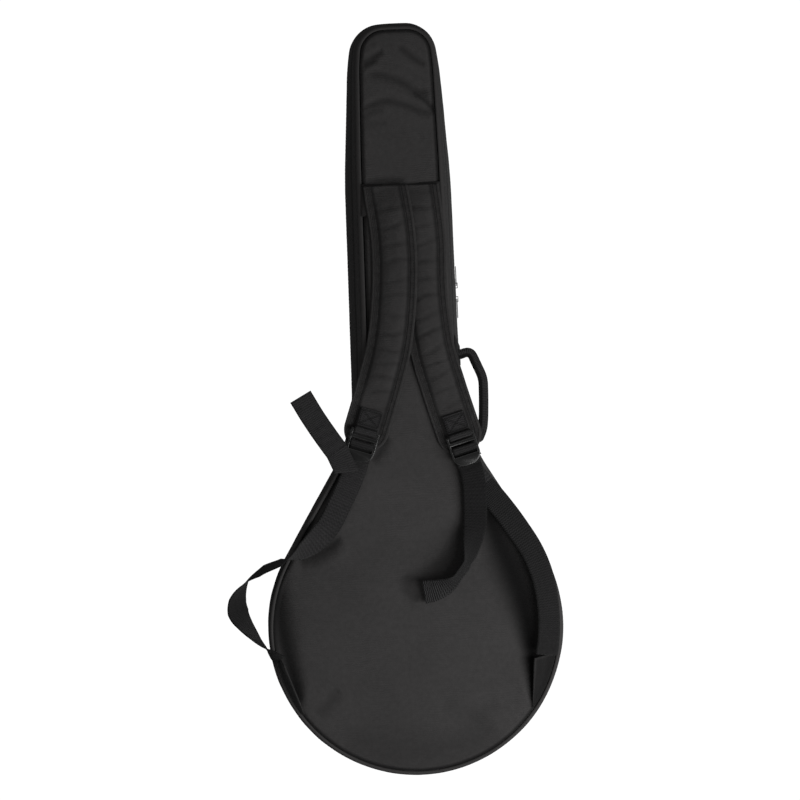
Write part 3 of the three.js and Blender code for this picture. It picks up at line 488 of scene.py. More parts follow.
def plus(tree, a, b):
    return math_node(tree, "ADD", a, b)


def minus(tree, a, b):
    return math_node(tree, "SUBTRACT", a, b)


def wave_node(tree, place, pitch):
    """Wave along a length, one for each pitch"""
    return math_node(tree, "SINE", times(tree, math_node(tree, "DIVIDE", place, pitch), TAU))


def noise_node(tree, place, scale, detail):
    inputs = {"Vector": place, "Scale": scale, "Detail": detail}
    return add_node(tree, "ShaderNodeTexNoise", inputs).outputs["Fac"]


def range_node(tree, value, low, high, start=0.0, end=1.0):
    inputs = {"Value": value, "From Min": low, "From Max": high, "To Min": start, "To Max": end}
    return add_node(tree, "ShaderNodeMapRange", inputs).outputs[0]


def bump_node(tree, height, strength, distance, under=None):
    """Normals of a relief, laid over those of another where one is given"""
    inputs = {"Height": height, "Strength": strength, "Distance": distance}
    if under is not None:
        inputs["Normal"] = under
    return add_node(tree, "ShaderNodeBump", inputs).outputs["Normal"]


def node_group(name, inputs, outputs):
    group = bpy.data.node_groups.new(name, "ShaderNodeTree")
    for label, kind, default in inputs:
        socket = group.interface.new_socket(name=label, in_out="INPUT", socket_type=kind)
        if default is not None:
            socket.default_value = default
    for label in outputs:
        group.interface.new_socket(name=label, in_out="OUTPUT", socket_type="NodeSocketFloat")
    return group, group.nodes.new("NodeGroupInput"), group.nodes.new("NodeGroupOutput")


def weave_group():
    """Height of a plain weave of a given pitch, with a little unevenness"""
    group, start, end = node_group(
        "weave", [("Vector", "NodeSocketVector", None), ("Pitch", "NodeSocketFloat", 1.1 * MM)], ["Height"]
    )
    place, pitch = start.outputs["Vector"], start.outputs["Pitch"]
    split = add_node(group, "ShaderNodeSeparateXYZ", {0: place})
    x, y, z = (wave_node(group, split.outputs[axis], pitch) for axis in "XYZ")
    total = plus(group, times(group, x, y), times(group, z, x))
    group.links.new(plus(group, total, noise_node(group, place, 900.0, 2.0)), end.inputs["Height"])


def tone_group():
    """Slow changes of tone and dust over the cloth"""
    group, start, end = node_group(
        "tone", [("Vector", "NodeSocketVector", None), ("Amount", "NodeSocketFloat", 0.2)], ["Tone"]
    )
    place = start.outputs["Vector"]
    total = plus(group, noise_node(group, place, 9.0, 4.0), noise_node(group, place, 160.0, 5.0))
    centred = times(group, minus(group, total, 1.0), start.outputs["Amount"])
    group.links.new(plus(group, centred, 1.0), end.inputs["Tone"])


def stitch_group():
    """Row of stitches along a UV map in metres: a mask of the thread and a height with its groove"""
    thread_half, thread_share, groove_half = 0.45 * MM, 0.72, 1.6 * MM
    group, start, end = node_group(
        "stitches",
        [("Across", "NodeSocketFloat", 0.0), ("Along", "NodeSocketFloat", 0.0),
         ("Place", "NodeSocketFloat", 2 * MM), ("Pitch", "NodeSocketFloat", 3.4 * MM)],
        ["Thread", "Height"],
    )
    away = math_node(group, "ABSOLUTE", minus(group, start.outputs["Across"], start.outputs["Place"]))
    near = math_node(group, "LESS_THAN", away, thread_half)
    turns = math_node(group, "DIVIDE", start.outputs["Along"], start.outputs["Pitch"])
    on = math_node(group, "LESS_THAN", math_node(group, "FRACT", turns), thread_share)
    thread = times(group, near, on)
    groove = range_node(group, away, 0.0, groove_half, -1.0, 0.0)
    group.links.new(thread, end.inputs["Thread"])
    group.links.new(plus(group, times(group, thread, 1.2), groove), end.inputs["Height"])


def ripple_group():
    """Fine wavy lines that run across the cloth, stronger in some places than in others"""
    group, start, end = node_group(
        "ripples", [("Vector", "NodeSocketVector", None), ("Pitch", "NodeSocketFloat", 3.1 * MM)], ["Height"]
    )
    bend_reach = 9 * MM
    place = start.outputs["Vector"]
    split = add_node(group, "ShaderNodeSeparateXYZ", {0: place})
    bend = times(group, noise_node(group, place, 38.0, 3.0), bend_reach)
    wave = wave_node(group, plus(group, split.outputs["Y"], bend), start.outputs["Pitch"])
    amount = range_node(group, noise_node(group, place, 24.0, 2.0), 0.38, 0.62)
    group.links.new(times(group, wave, amount), end.inputs["Height"])


def group_node(tree, group, inputs):
    return add_node(tree, "ShaderNodeGroup", inputs, node_tree=bpy.data.node_groups[group])


def toned(tree, shader, color, tone):
    """Base colour times a tone, darkened by the painted shade and lightened where that is below zero"""
    # depth is the painted shade kept on the mesh
    depth = add_node(tree, "ShaderNodeAttribute", attribute_name="painted_shade").outputs["Fac"]
    tone = times(tree, tone, minus(tree, 1.0, depth))
    mix = add_node(tree, "ShaderNodeVectorMath", {0: color, "Scale": tone}, operation="SCALE")
    tree.links.new(mix.outputs[0], shader.inputs["Base Color"])


def cloth_material(
    name, color, pitch=1.1 * MM, bump=0.12 * MM, roughness=0.8, sheen=0.06, amount=0.42, ripple=0.04
):
    """Woven cloth with fine ripples, slow changes of tone and a scuffed grain; the ripples' light and dark is
    also painted into the colour
    """
    spread, grain_height, ripple_height = 0.12, 0.9 * MM, 0.22 * MM
    _, tree, shader = new_material(name, color, roughness, sheen=sheen, specular=0.12)
    place = add_node(tree, "ShaderNodeTexCoord").outputs["Object"]
    weave = group_node(tree, "weave", {"Vector": place, "Pitch": pitch})
    tone = group_node(tree, "tone", {"Vector": place, "Amount": amount})
    waves = group_node(tree, "ripples", {"Vector": place}).outputs["Height"]
    # The ripples also lighten and darken the colour a little: painted shading of their relief
    toned(tree, shader, color, plus(tree, tone.outputs["Tone"], times(tree, waves, ripple)))
    grain = add_node(
        tree, "ShaderNodeTexNoise", {"Vector": place, "Scale": 260.0, "Detail": 6.0, "Roughness": 0.7}
    ).outputs["Fac"]
    rough = range_node(tree, grain, 0.0, 1.0, roughness - spread, min(roughness + spread, 1.0))
    tree.links.new(rough, shader.inputs["Roughness"])
    normal = bump_node(tree, grain, 0.6, grain_height)
    normal = bump_node(tree, waves, 0.6, ripple_height, normal)
    normal = bump_node(tree, weave.outputs["Height"], 0.8, bump, normal)
    tree.links.new(normal, shader.inputs["Normal"])


def seam_line(tree, across, along, start, end):
    """Stitches and groove of a seam from one place to another on a UV map in metres"""
    pitch, groove_in, groove_out = 3.2 * MM, 0.4 * MM, 1.8 * MM
    reach = Vector(end) - Vector(start)
    length, (dx, dy) = reach.length, reach.normalized()
    x, y = minus(tree, across, start[0]), minus(tree, along, start[1])
    run = plus(tree, times(tree, x, dx), times(tree, y, dy))
    side = minus(tree, times(tree, x, dy), times(tree, y, dx))
    away = math_node(tree, "ABSOLUTE", side)
    past_start = math_node(tree, "GREATER_THAN", run, 0.0)
    inside = times(tree, past_start, math_node(tree, "LESS_THAN", run, length))
    row = group_node(tree, "stitches", {"Across": away, "Along": run, "Place": 0.0, "Pitch": pitch})
    groove = range_node(tree, away, groove_in, groove_out, 1.0, 0.0)
    return [times(tree, value, inside) for value in (row.outputs["Thread"], groove)]


def ribbed_material(
    name, color, rib=2.8 * MM, width=WEBBING, stitches=(), seams=(), bump=0.4 * MM, contrast=0.24, strong=None
):
    """Woven tape: ribs across it on its UV map, stronger from a place on, with rows of stitches and seams,
    and painted shade in their grooves and along the tape's edges
    """
    lean_pitch, thread_pitch, strong_reach, edge_shade_width = 5 * MM, 0.9 * MM, 20 * MM, 2.4 * MM
    _, tree, shader = new_material(name, color, 0.75, sheen=0.04, specular=0.1)
    uv = add_node(tree, "ShaderNodeTexCoord").outputs["UV"]
    place = add_node(tree, "ShaderNodeTexCoord").outputs["Object"]
    split = add_node(tree, "ShaderNodeSeparateXYZ", {0: uv})
    across, along = split.outputs["X"], split.outputs["Y"]
    turns = times(tree, math_node(tree, "DIVIDE", along, rib), TAU)
    ribs = math_node(tree, "SINE", plus(tree, turns, times(tree, wave_node(tree, across, lean_pitch), 0.9)))
    threads = wave_node(tree, across, thread_pitch)
    if strong is not None:
        ribs = times(tree, ribs, range_node(tree, along, strong - strong_reach, strong, 1.0, 5.0))
    height = plus(tree, ribs, times(tree, threads, 0.35))
    tone = group_node(tree, "tone", {"Vector": place, "Amount": 0.45}).outputs["Tone"]
    speck = times(tree, minus(tree, noise_node(tree, place, 420.0, 3.0), 0.5), 0.9)
    shade = plus(tree, times(tree, ribs, contrast), plus(tree, tone, speck))
    rows = []
    for spot in stitches:
        row = group_node(tree, "stitches", {"Across": across, "Along": along, "Place": spot})
        groove = times(tree, math_node(tree, "MINIMUM", row.outputs["Height"], 0.0), -1.0)
        rows.append((row.outputs["Thread"], groove))
    rows += [seam_line(tree, across, along, start, end) for start, end in seams]
    # Painted shade in the grooves of the stitches and seams; the thread is lighter
    for thread, groove in rows:
        shade = times(tree, shade, minus(tree, 1.0, times(tree, groove, 0.65)))
        shade = plus(tree, shade, times(tree, thread, 0.6))
        height = minus(tree, height, times(tree, groove, 2.5))
        height = plus(tree, height, times(tree, thread, 1.5))
    # Painted shade along both edges of the tape
    edge = math_node(tree, "MINIMUM", across, minus(tree, width, across))
    toned(tree, shader, color, times(tree, shade, range_node(tree, edge, 0.0, edge_shade_width, 0.45, 1.0)))
    tree.links.new(bump_node(tree, height, 0.9, bump), shader.inputs["Normal"])


def moulded_material(name, color, roughness=0.38, metallic=0.0, scratch=0.1, specular=0.5):
    """Moulded plastic or cast metal with fine scratches"""
    pit_depth = 0.1 * MM
    _, tree, shader = new_material(name, color, roughness, metallic, specular=specular)
    place = add_node(tree, "ShaderNodeTexCoord").outputs["Object"]
    broad = noise_node(tree, place, 120.0, 6.0)
    rough = range_node(tree, broad, 0.0, 1.0, roughness - scratch, roughness + scratch)
    tree.links.new(rough, shader.inputs["Roughness"])
    toned(tree, shader, color, group_node(tree, "tone", {"Vector": place, "Amount": 0.25}).outputs["Tone"])
    pits = bump_node(tree, noise_node(tree, place, 1400.0, 2.0), 0.25, pit_depth)
    tree.links.new(pits, shader.inputs["Normal"])


def finish(name):
    return bpy.data.materials[name]


def shaded(color, share):
    return tuple(channel * share for channel in color)


class BANJO_OT_materials(bpy.types.Operator):
    """Cloth, webbing, tape, plastic and metal of all the pieces"""

    bl_idname = "banjo.materials"
    bl_label = "Materials"

    def execute(self, context):
        bag = settings()
        weave_group(), tone_group(), stitch_group(), ripple_group()
        cloth, webbing, lining = tuple(bag.cloth), tuple(bag.webbing), tuple(bag.lining)
        cloth_material("panel cloth", cloth)
        # The pad, tab and wall cloth are the panel cloth made darker by a share: painted shade
        for name, share, ripple in (("pad", 0.83, 0.02), ("tab", 0.5, 0.0), ("wall", 0.68, 0.0)):
            cloth_material(name + " cloth", shaded(cloth, share), pitch=0.9 * MM, ripple=ripple)
        cloth_material(
            "lining cloth", lining, pitch=0.7 * MM, bump=0.05 * MM, roughness=0.9, sheen=0.4, amount=0.15
        )
        ribbed_material("woven webbing", webbing, contrast=0.2, bump=0.3 * MM)
        ribbed_material(
            "patch webbing", shaded(webbing, 1.15), width=30 * MM, seams=self.boxed_cross(), contrast=0.14
        )
        tail_hem, side_gap = 22 * MM, 1 * MM
        for name, length, rib, strong in (
            ("left", 118 * MM, 2.6 * MM, None), ("right", 205 * MM, 3.6 * MM, 165 * MM)
        ):
            line = length - tail_hem
            seam = ((side_gap, line), (WEBBING - side_gap, line))
            ribbed_material(
                "hemmed webbing " + name, webbing, rib, seams=[seam], contrast=0.12, bump=0.3 * MM,
                strong=strong,
            )
        ribbed_material(
            "binding tape", shaded(cloth, 0.9), rib=1.1 * MM, width=27 * MM, stitches=(2.8 * MM, 8.2 * MM),
            contrast=0.08,
        )
        ribbed_material("zip tape", webbing, rib=1 * MM, width=12 * MM, contrast=0.1)
        ribbed_material(
            "handle webbing", shaded(webbing, 1.15), rib=2.2 * MM, width=42 * MM,
            stitches=(5.5 * MM, 15.5 * MM),
        )
        moulded_material("cord cloth", shaded(cloth, 0.95), 0.75, specular=0.1)
        moulded_material("lock plastic", tuple(bag.plastic), 0.24, scratch=0.06, specular=0.36)
        moulded_material("coil nylon", (0.012, 0.012, 0.012), 0.42)
        moulded_material("dark metal", (0.012, 0.012, 0.0125), 0.45, 0.25, specular=0.2)
        return {"FINISHED"}

    def boxed_cross(self):
        """Seams of a box with a cross in it, on a strap's patch"""
        left, right, low, high = 2 * MM, 28 * MM, 2.5 * MM, 21.5 * MM
        corners = [(left, low), (right, low), (right, high), (left, high)]
        box = [(corners[k], corners[(k + 1) % 4]) for k in range(4)]
        return box + [(corners[0], corners[2]), (corners[1], corners[3])]


# The shell


def panel_tree(inset):
    """Search tree of the panel's edge, for the distance of a point from it"""
    count = 900
    tree = kdtree.KDTree(count)
    for k in range(count):
        point = shell(station_at(ROUND * k / count), inset, DEPTH)
        tree.insert((point.x, point.y, 0), k)
    tree.balance()
    return tree


def panel_wrinkles(x, y, side):
    """Soft unevenness, more of it over the head and the neck"""
    soft = 0.6 * uneven(x * 11, y * 26, 3.1 * side) + 0.4 * uneven(x * 30, y * 60, 7 * side)
    head = smooth(0.62, 0.72, y)
    ripple = math.sin(y * 620 + 5 * uneven(x * 9, y * 5, 1))
    ripple *= 0.5 + uneven(x * 14, y * 20, 4)
    return soft * (0.6 + 1.1 * head) + ripple * 0.13


# The padding can't sink deeper than this
DEEPEST = 8.5 * MM


class FoldsAndShade:
    """Folds and painted shadows drawn on the back panel: how far they sink and how much shade is painted at a
    place
    """

    def __init__(self):
        self.folds_and_shade = []
        for line, dark in FOLDS_AND_SHADE:
            points = [Vector((x * MM, y * MM, 0)) for x, y, _, _ in line]
            widths = [(k / (len(line) - 1), row[2] * MM) for k, row in enumerate(line)]
            depths = [(k / (len(line) - 1), row[3] * MM) for k, row in enumerate(line)]
            length = sum((b - a).length for a, b in zip(points, points[1:]))
            widest = max(width for _, width in widths)
            count = max(int(length / min(MM, widest / 8)), 4)
            tree = kdtree.KDTree(count + 1)
            spots = []
            for k in range(count + 1):
                share = k / count
                fade = smooth(0, 0.12, share) * smooth(1, 0.88, share)
                tree.insert(route_point(points, share), k)
                spots.append((along_pairs(widths, share), along_pairs(depths, share) * fade, dark * fade))
            tree.balance()
            low, high = (pick(p.x for p in points) for pick in (min, max))
            bottom, top = (pick(p.y for p in points) for pick in (min, max))
            self.folds_and_shade.append((low, high, bottom, top, 3 * widest, tree, spots))

    def at(self, x, y):
        sink, lit = 0, 1
        for low, high, bottom, top, reach, tree, spots in self.folds_and_shade:
            if low - reach < x < high + reach and bottom - reach < y < top + reach:
                _, k, away = tree.find((x, y, 0))
                width, depth, dark = spots[k]
                ridge = 0.22 * smooth(12 * MM, 8 * MM, width)
                sink += depth * (bell(away, 0, width) - ridge * bell(away / width, 1.9, 1))
                lit *= 1 - dark * bell(away, 0, 0.8 * width)
        return min(sink, DEEPEST), 1 - lit


def panel_piece(
    name, side, inset, level, columns, rows, material, puff=0.0, wrinkle=0.0, dip=0.0, thickness=0.0,
    folds_and_shade=None,
):
    """A panel between the outline's two sides, domed and wrinkled, its edge dipped into the seam, with
    painted shade in its folds and along its edge
    """
    tree = panel_tree(inset)
    half_round = length_at(STATIONS / 2)

    def place(u, v):
        station = station_at(half_round * v)
        right = shell(station, inset, HALF + side * level)
        left = shell(STATIONS - station, inset, HALF + side * level)
        point = left.lerp(right, u)
        edge = tree.find((point.x, point.y, 0))[2]
        rise = puff * (1 - math.exp(-edge / 0.02)) - dip * (1 - smooth(0, 0.006, edge))
        rise += wrinkle * panel_wrinkles(point.x, point.y, side) * smooth(0.002, 0.03, edge)
        sink, dark = folds_and_shade.at(point.x, point.y) if folds_and_shade else (0, 0)
        rise -= sink * smooth(0, 0.005, edge)
        # Painted shade along the edge where it dips into the seam
        seam = 0.8 * (1 - smooth(0.0012, 0.0055, edge)) if dip else 0
        point.z = HALF + side * (level + rise)
        return point, 1 - (1 - dark) * (1 - seam)

    piece = sheet_piece(name, material, columns, rows, place, (0.4, 1.0), thickness, offset=-side)
    if side < 0:
        turn_over(piece)
    return piece


def turn_over(piece):
    piece.data.flip_normals()
    for modifier in piece.modifiers:
        if modifier.type == "SOLIDIFY":
            modifier.offset = -1


def ring_piece(name, material, columns, rows, profile, stations=None, size=10 * MM, thickness=0.0):
    """A band round the bag: profile gives inset and height, and a painted shade where it has one, at a share
    across it and a length along it"""
    first, last = stations or (0, STATIONS)
    start, end = length_at(first), length_at(min(last, 2 * STATIONS))

    def place(u, v):
        length = start + (end - start) * v
        inset, z, *painted_shade = profile(u, length)
        point = shell(station_at(length), inset, z)
        return (point, painted_shade[0]) if painted_shade else point

    return sheet_piece(name, material, rows, columns, place, (size, end - start), thickness)


def wall_profile(side):
    """Side wall from the zip to the panel's piping, with a lengthwise seam and fine puckers below it"""

    def profile(u, length):
        hem, top, line = 5.7 * MM, HALF - 2.6 * MM, 42 * MM
        height = hem + (top - hem) * u
        near_hem = bell(height, 9.5 * MM, 1.1 * MM)
        near_line = bell(height, line, 1.3 * MM)
        near_top = smooth(top - 9 * MM, top, height)
        pucker = math.sin(length * 1150 + 3 * uneven(length * 40, side, 0))
        strength = math.exp(-abs(height - 9 * MM) / (5 * MM))
        below = smooth(line - 14 * MM, line - 2 * MM, height)
        below *= smooth(line + 0.5 * MM, line - 1.5 * MM, height)
        strength += 1.3 * below * (0.6 + 0.8 * uneven(length * 12, side, 4))
        slow = uneven(length * 14, height * 40, 5 * side) + 0.5 * uneven(length * 45, height * 90, 2)
        arch = math.sin(math.pi * u)
        out = 0.6 * MM * arch + 0.7 * MM * slow * arch + 0.22 * MM * pucker * strength
        out -= 0.45 * MM * near_hem + 0.9 * MM * near_line
        # Painted shade in the grooves of the seam and the hem, in the puckers' hollows and under the piping
        dark = 0.75 * near_line + 0.3 * near_hem + 0.28 * max(-pucker, 0) * min(strength, 1)
        dark += 0.6 * smooth(top - 3.2 * MM, top - 0.8 * MM, height)
        return 0.2 * MM - out + 1.2 * MM * near_top ** 2, HALF + side * height, min(dark, 0.85)

    return profile


def piping_profile(side, radius):
    def profile(u, length):
        turn = TAU * u * side
        z = HALF + side * (HALF - radius - 0.1 * MM)
        return 2 * MM + radius * math.cos(turn), z - radius * math.sin(turn)

    return profile


class BANJO_OT_shell(bpy.types.Operator):
    """Panels, side walls and piping of both halves"""

    bl_idname = "banjo.shell"
    bl_label = "Bag shell"

    def execute(self, context):
        bag = settings()
        for side, half in SIDES:
            # The front panel lies flat on the floor, with fewer and lower wrinkles
            columns, rows, puff, wrinkle, folds_and_shade = 84, 220, 0.1 * MM, bag.wrinkle * 0.25, None
            if half == "back":
                columns, rows, puff, wrinkle, folds_and_shade = 140, 330, bag.panel_puff, bag.wrinkle, FoldsAndShade()
            panel = panel_piece(
                half + "_panel_cover", side, 4.6 * MM, HALF - 0.2 * MM, columns, rows, finish("panel cloth"),
                puff, wrinkle, 1.6 * MM, 0.9 * MM, folds_and_shade,
            )
            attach(panel, half + "_half")
            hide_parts(half + "_panel", half + "_panel_foam")
            wall = ring_piece(
                half + "_side_wall", finish("wall cloth"), 980, 40, wall_profile(side), size=45 * MM,
                thickness=0.8 * MM,
            )
            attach(wall, half + "_half")
            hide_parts(half + "_gusset", half + "_gusset_foam")
            piping = ring_piece(
                half + "_piping_cord", finish("cord cloth"), 560, 12, piping_profile(side, bag.piping)
            )
            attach(piping, half + "_half")
            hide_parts(half + "_piping")
        return {"FINISHED"}


class BANJO_OT_lining(bpy.types.Operator):
    """Linings of the panels and walls, the bound seams and the spine inside the bag"""

    bl_idname = "banjo.lining"
    bl_label = "Lining"

    def execute(self, context):
        for side, half in SIDES:
            floor = panel_piece(
                half + "_inner_lining", side, 10.9 * MM, HALF - 11 * MM, 60, 170, finish("lining cloth"),
                wrinkle=0.5 * MM, thickness=0.6 * MM,
            )
            turn_over(floor)
            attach(floor, half + "_half")
            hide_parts(half + "_panel_lining")

            def inner(u, length, side=side):
                height = 3.2 * MM + 39.8 * MM * u
                soft = uneven(length * 18, height * 50, side)
                return 9.9 * MM + 0.5 * MM * soft * math.sin(math.pi * u), HALF + side * height

            wall = ring_piece(
                half + "_inner_wall", finish("lining cloth"), 360, 10, inner, size=40 * MM, thickness=0.6 * MM
            )
            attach(wall, half + "_half")
            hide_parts(half + "_gusset_lining")

            def hem(u, length, side=side):
                return 0.9 * MM + 9.4 * MM * u, HALF + side * (4.4 * MM - 1.2 * MM * math.sin(math.pi * u))

            lip = ring_piece(half + "_mouth_edge", finish("lining cloth"), 360, 5, hem, thickness=0.5 * MM)
            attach(lip, half + "_half")

            def bound(u, length, side=side):
                turn = TAU * u * side
                radius = 2.9 * MM
                wave = 1 + 0.06 * math.sin(length * 900)
                return (
                    8 * MM + radius * math.cos(turn) * wave,
                    HALF + side * (HALF - 9.5 * MM) - radius * math.sin(turn) * wave,
                )

            binding = ring_piece(half + "_bound_seam", finish("binding tape"), 420, 10, bound, size=18 * MM)
            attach(binding, half + "_half")
            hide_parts(half + "_seam_binding")

        def spine(u, length):
            height = 15 * MM * (2 * u - 1)
            return 2.3 * MM + 0.25 * MM * uneven(length * 60, height * 80, 9), HALF + height

        first, last = SPINE[0] + 0.01, SPINE[1] - 0.01
        strip = ring_piece(
            "spine_cloth", finish("panel cloth"), 60, 16, spine, (first, last), 30 * MM, 0.8 * MM
        )
        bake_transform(strip)
        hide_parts("spine_strip")
        return {"FINISHED"}


class BANJO_OT_zip(bpy.types.Operator):
    """Zip tapes, coils, stops, sliders and pulls"""

    bl_idname = "banjo.zip"
    bl_label = "Zip"

    def execute(self, context):
        first, last = SPINE[1], STATIONS + SPINE[0]
        for side, half in SIDES:

            def tape(u, length, side=side):
                return 1.75 * MM, HALF + side * (2.4 * MM + 12 * MM * u)

            band = ring_piece(
                "zip_tape_cloth_" + half, finish("zip tape"), 420, 6, tape, (first, last), 12 * MM, 0.7 * MM
            )
            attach(band, half + "_half")
            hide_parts("zip_tape_" + half)

            def coil(u, length, side=side):
                pitch, offset = 2.4 * MM, 0.5 if side > 0 else 0
                tooth = 0.5 + 0.5 * math.cos(TAU * (length / pitch + offset))
                turn = TAU * u * side
                reach = 0.75 + 0.25 * tooth
                inset = 1.45 * MM + 1.1 * MM * math.cos(turn) * reach
                return inset, HALF + side * 1.75 * MM - 0.95 * MM * math.sin(turn) * reach

            ends = first + 0.14, last - 0.14
            teeth = ring_piece("zip_teeth_" + half, finish("coil nylon"), 2600, 6, coil, ends, 6 * MM)
            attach(teeth, half + "_half")
            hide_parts("zip_coil_" + half)
            for end in ("upper", "lower"):
                place = "%s_%s" % (half, end)
                stop = node_copy("zip_end_" + place, "zip_stop_" + place, finish("dark metal"), 0.25 * MM)
                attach(stop, half + "_half")
        for end in ("upper", "lower"):
            slider = node_copy(
                "slider_%s_body" % end, "zip_slider_" + end, finish("dark metal"), 0.35 * MM, 3
            )
            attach(slider, "slider_" + end)
            pull = node_copy(
                "slider_%s_pull" % end, "zip_pull_" + end, finish("dark metal"), 0.25 * MM, 3
            )
            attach(pull, "pull_" + end)
        return {"FINISHED"}


# Straps


def strap_points(strap):
    return [Vector((x * NECK_HALF, STRAP_TOP - y * strap["run"], 0)) for y, x in strap["shares"]]


def strap_frame(strap, run):
    """Place, direction and left hand of a strap at a length from its top, straight on past its end"""
    points = strap_points(strap)
    share = min(run / strap["run"], 1)
    along = route_tangent(points, share)
    place = route_point(points, share)
    if run > strap["run"]:
        place = place + along * (run - strap["run"])
    return place, along, Vector((-along.y, along.x, 0)), share


def strap_lift(strap, share, across):
    if not strap["climbs"]:
        return 0
    return 10 * MM * along_pairs(CLIMB, share) * (across / STRAP_HALF + 1) / 2


def square_up(strap, run, across):
    """Shift that brings the slanting top end of a strap level with the yoke's seam"""
    return -strap_frame(strap, 0)[2].y * across * (1 - smooth(0, 24 * MM, run))


def pad_height(strap, name, run, rho, across):
    """Top of a strap's padding, and the shade painted on it: a crowned pillow with puckers between its sewn
    edges, painted shade in the puckers' hollows and along the sewn edges
    """
    share = min(run / strap["run"], 1)
    crown = PAD_EDGE + (PAD_CROWN - PAD_EDGE) * smooth(0, 1, along_pairs(CROWN, share))
    x = min(rho / (PAD_HALF + 1 * MM), 1)
    seed = 3.0 if name == "left" else 8.0
    lines = math.sin(run * TAU / (22 * MM) + 2.6 * uneven(run * 40, across * 24, seed) + across * 25)
    valley = (max(0, lines - 0.2) / 0.8) * (0.55 + 0.6 * abs(uneven(run * 25, 2, seed)))
    pucker = 2.3 * MM * valley ** 1.5 * (1 - 0.25 * x) + 0.7 * MM * uneven(across * 70, run * 55, seed)
    top = PAD_EDGE + (crown - PAD_EDGE) * (1 - x ** 2.4) ** 0.7
    full = min((crown - PAD_EDGE) / (3 * MM) + 0.2, 1)
    # Painted shade along the sewn edges
    groove = 0.6 * smooth(0.8, 1, x)
    return top - pucker * (1 - x ** 4) * full, min(0.5 * valley ** 1.5 * (1 - 0.6 * x) * full + groove, 0.8)


def strap_pad(name, strap):
    """The padded middle of a strap with its rounded tip, as one closed form"""
    reach = PAD_HALF + 4 * MM
    total = strap["run"] + reach

    def place(u, v):
        run = total * v
        past = max(run - strap["run"], 0)
        half = math.sqrt(max(reach ** 2 - past ** 2, 0)) if past else reach
        centre, along, left, share = strap_frame(strap, run)
        top = u <= 0.5
        across = half * (1 - 4 * u if top else 4 * u - 3)
        rho = math.hypot(across, past)
        rim = smooth(reach, reach - 1.2 * MM, rho)
        crest, dark = pad_height(strap, name, run, rho, across) if top else (0.3 * MM, 0)
        point = centre + left * across
        point.y += square_up(strap, run, across)
        point.z = STRAP_BASE + crest * rim + 1.4 * MM * (1 - rim) + strap_lift(strap, share, across)
        return point, dark

    def turned(u, v):
        return place(u % 1, v)

    pad = sheet_piece("strap_padding_" + name, finish("pad cloth"), 72, 190, turned, (0.09, total))
    close_ends(pad)
    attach(pad, "strap_" + name)
    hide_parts("shoulder_strap_" + name)


def close_ends(piece):
    bm = bmesh.new()
    bm.from_mesh(piece.data)
    bmesh.ops.holes_fill(bm, edges=[e for e in bm.edges if e.is_boundary], sides=0)
    bmesh.ops.recalc_face_normals(bm, faces=bm.faces)
    bm.to_mesh(piece.data)
    bm.free()


def strap_binding(name, strap):
    """Edge tape folded over a strap's edge, down one side, round the tip and up the other"""
    run, arc = strap["run"], math.pi * STRAP_HALF
    total = 2 * run + arc
    inner = PAD_HALF + 0.6 * MM

    def place(u, v):
        length = total * v
        if length < run:
            centre, along, left, share = strap_frame(strap, length)
            out, side = -left, -1
        elif length < run + arc:
            centre, along, left, share = strap_frame(strap, run)
            turn = (length - run) / STRAP_HALF
            out, side = -left * math.cos(turn) + along * math.sin(turn), 0
        else:
            centre, along, left, share = strap_frame(strap, total - length)
            out, side = left, 1
        wave = 0.35 * MM * uneven(length * 60, u * 2, 11)
        ripple = 0.3 * MM * math.sin(length * 410 + 3 * uneven(length * 25, 0, 5))
        width = STRAP_HALF - inner
        if u < 0.44:
            t = u / 0.44
            reach, height = inner + (width - 1.6 * MM) * t, 3.6 * MM + wave - ripple * t * (1 - t) * 2
            height -= 0.5 * MM * bell(t, 0.18, 0.08) + 0.3 * MM * bell(t, 0.55, 0.07)
        elif u < 0.62:
            turn = (u - 0.44) / 0.18 * math.pi
            reach = STRAP_HALF - 1.6 * MM + 1.6 * MM * math.sin(turn)
            height = 2 * MM + 1.6 * MM * math.cos(turn) + wave * (1 - (u - 0.44) / 0.18)
        else:
            reach, height = STRAP_HALF - 1.6 * MM - (width - 1.6 * MM) * (u - 0.62) / 0.38, 0.4 * MM
        point = centre + out * reach
        point.y += square_up(strap, min(length, total - length), side * reach)
        point.z = STRAP_BASE + height + strap_lift(strap, share, side * reach)
        # Painted shade at the seams, under the edge and in the ripples' hollows, painted highlight along the
        # ridges
        dark = 0.8 * bell(u, 0, 0.05) + 0.45 * bell(u, 0.15, 0.03)
        dark += 0.4 * bell(u, 0.34, 0.03) + 0.75 * smooth(0.5, 0.6, u)
        dark -= 0.3 * bell(u, 0.09, 0.025) + 0.3 * bell(u, 0.42, 0.03)
        dark += 0.2 * max(math.sin(length * 410), 0) * bell(u, 0.2, 0.1)
        return point, min(dark, 0.8)

    tape = sheet_piece(
        "strap_edge_tape_" + name, finish("binding tape"), 26, 420, place, (27 * MM, total), 0.5 * MM
    )
    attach(tape, "strap_" + name)
    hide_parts("strap_binding_" + name)


def lock_matrix(name):
    """Frame at the top of a ladder lock: X across, Y down the strap, Z up from the padding"""
    strap = STRAPS[name]
    place, along, left, _ = strap_frame(strap, strap["run"])
    origin = place + along * 2 * MM
    origin.z = STRAP_BASE + 5 * MM
    return Matrix.Translation(origin) @ Matrix((-left, along, UP)).transposed().to_4x4()


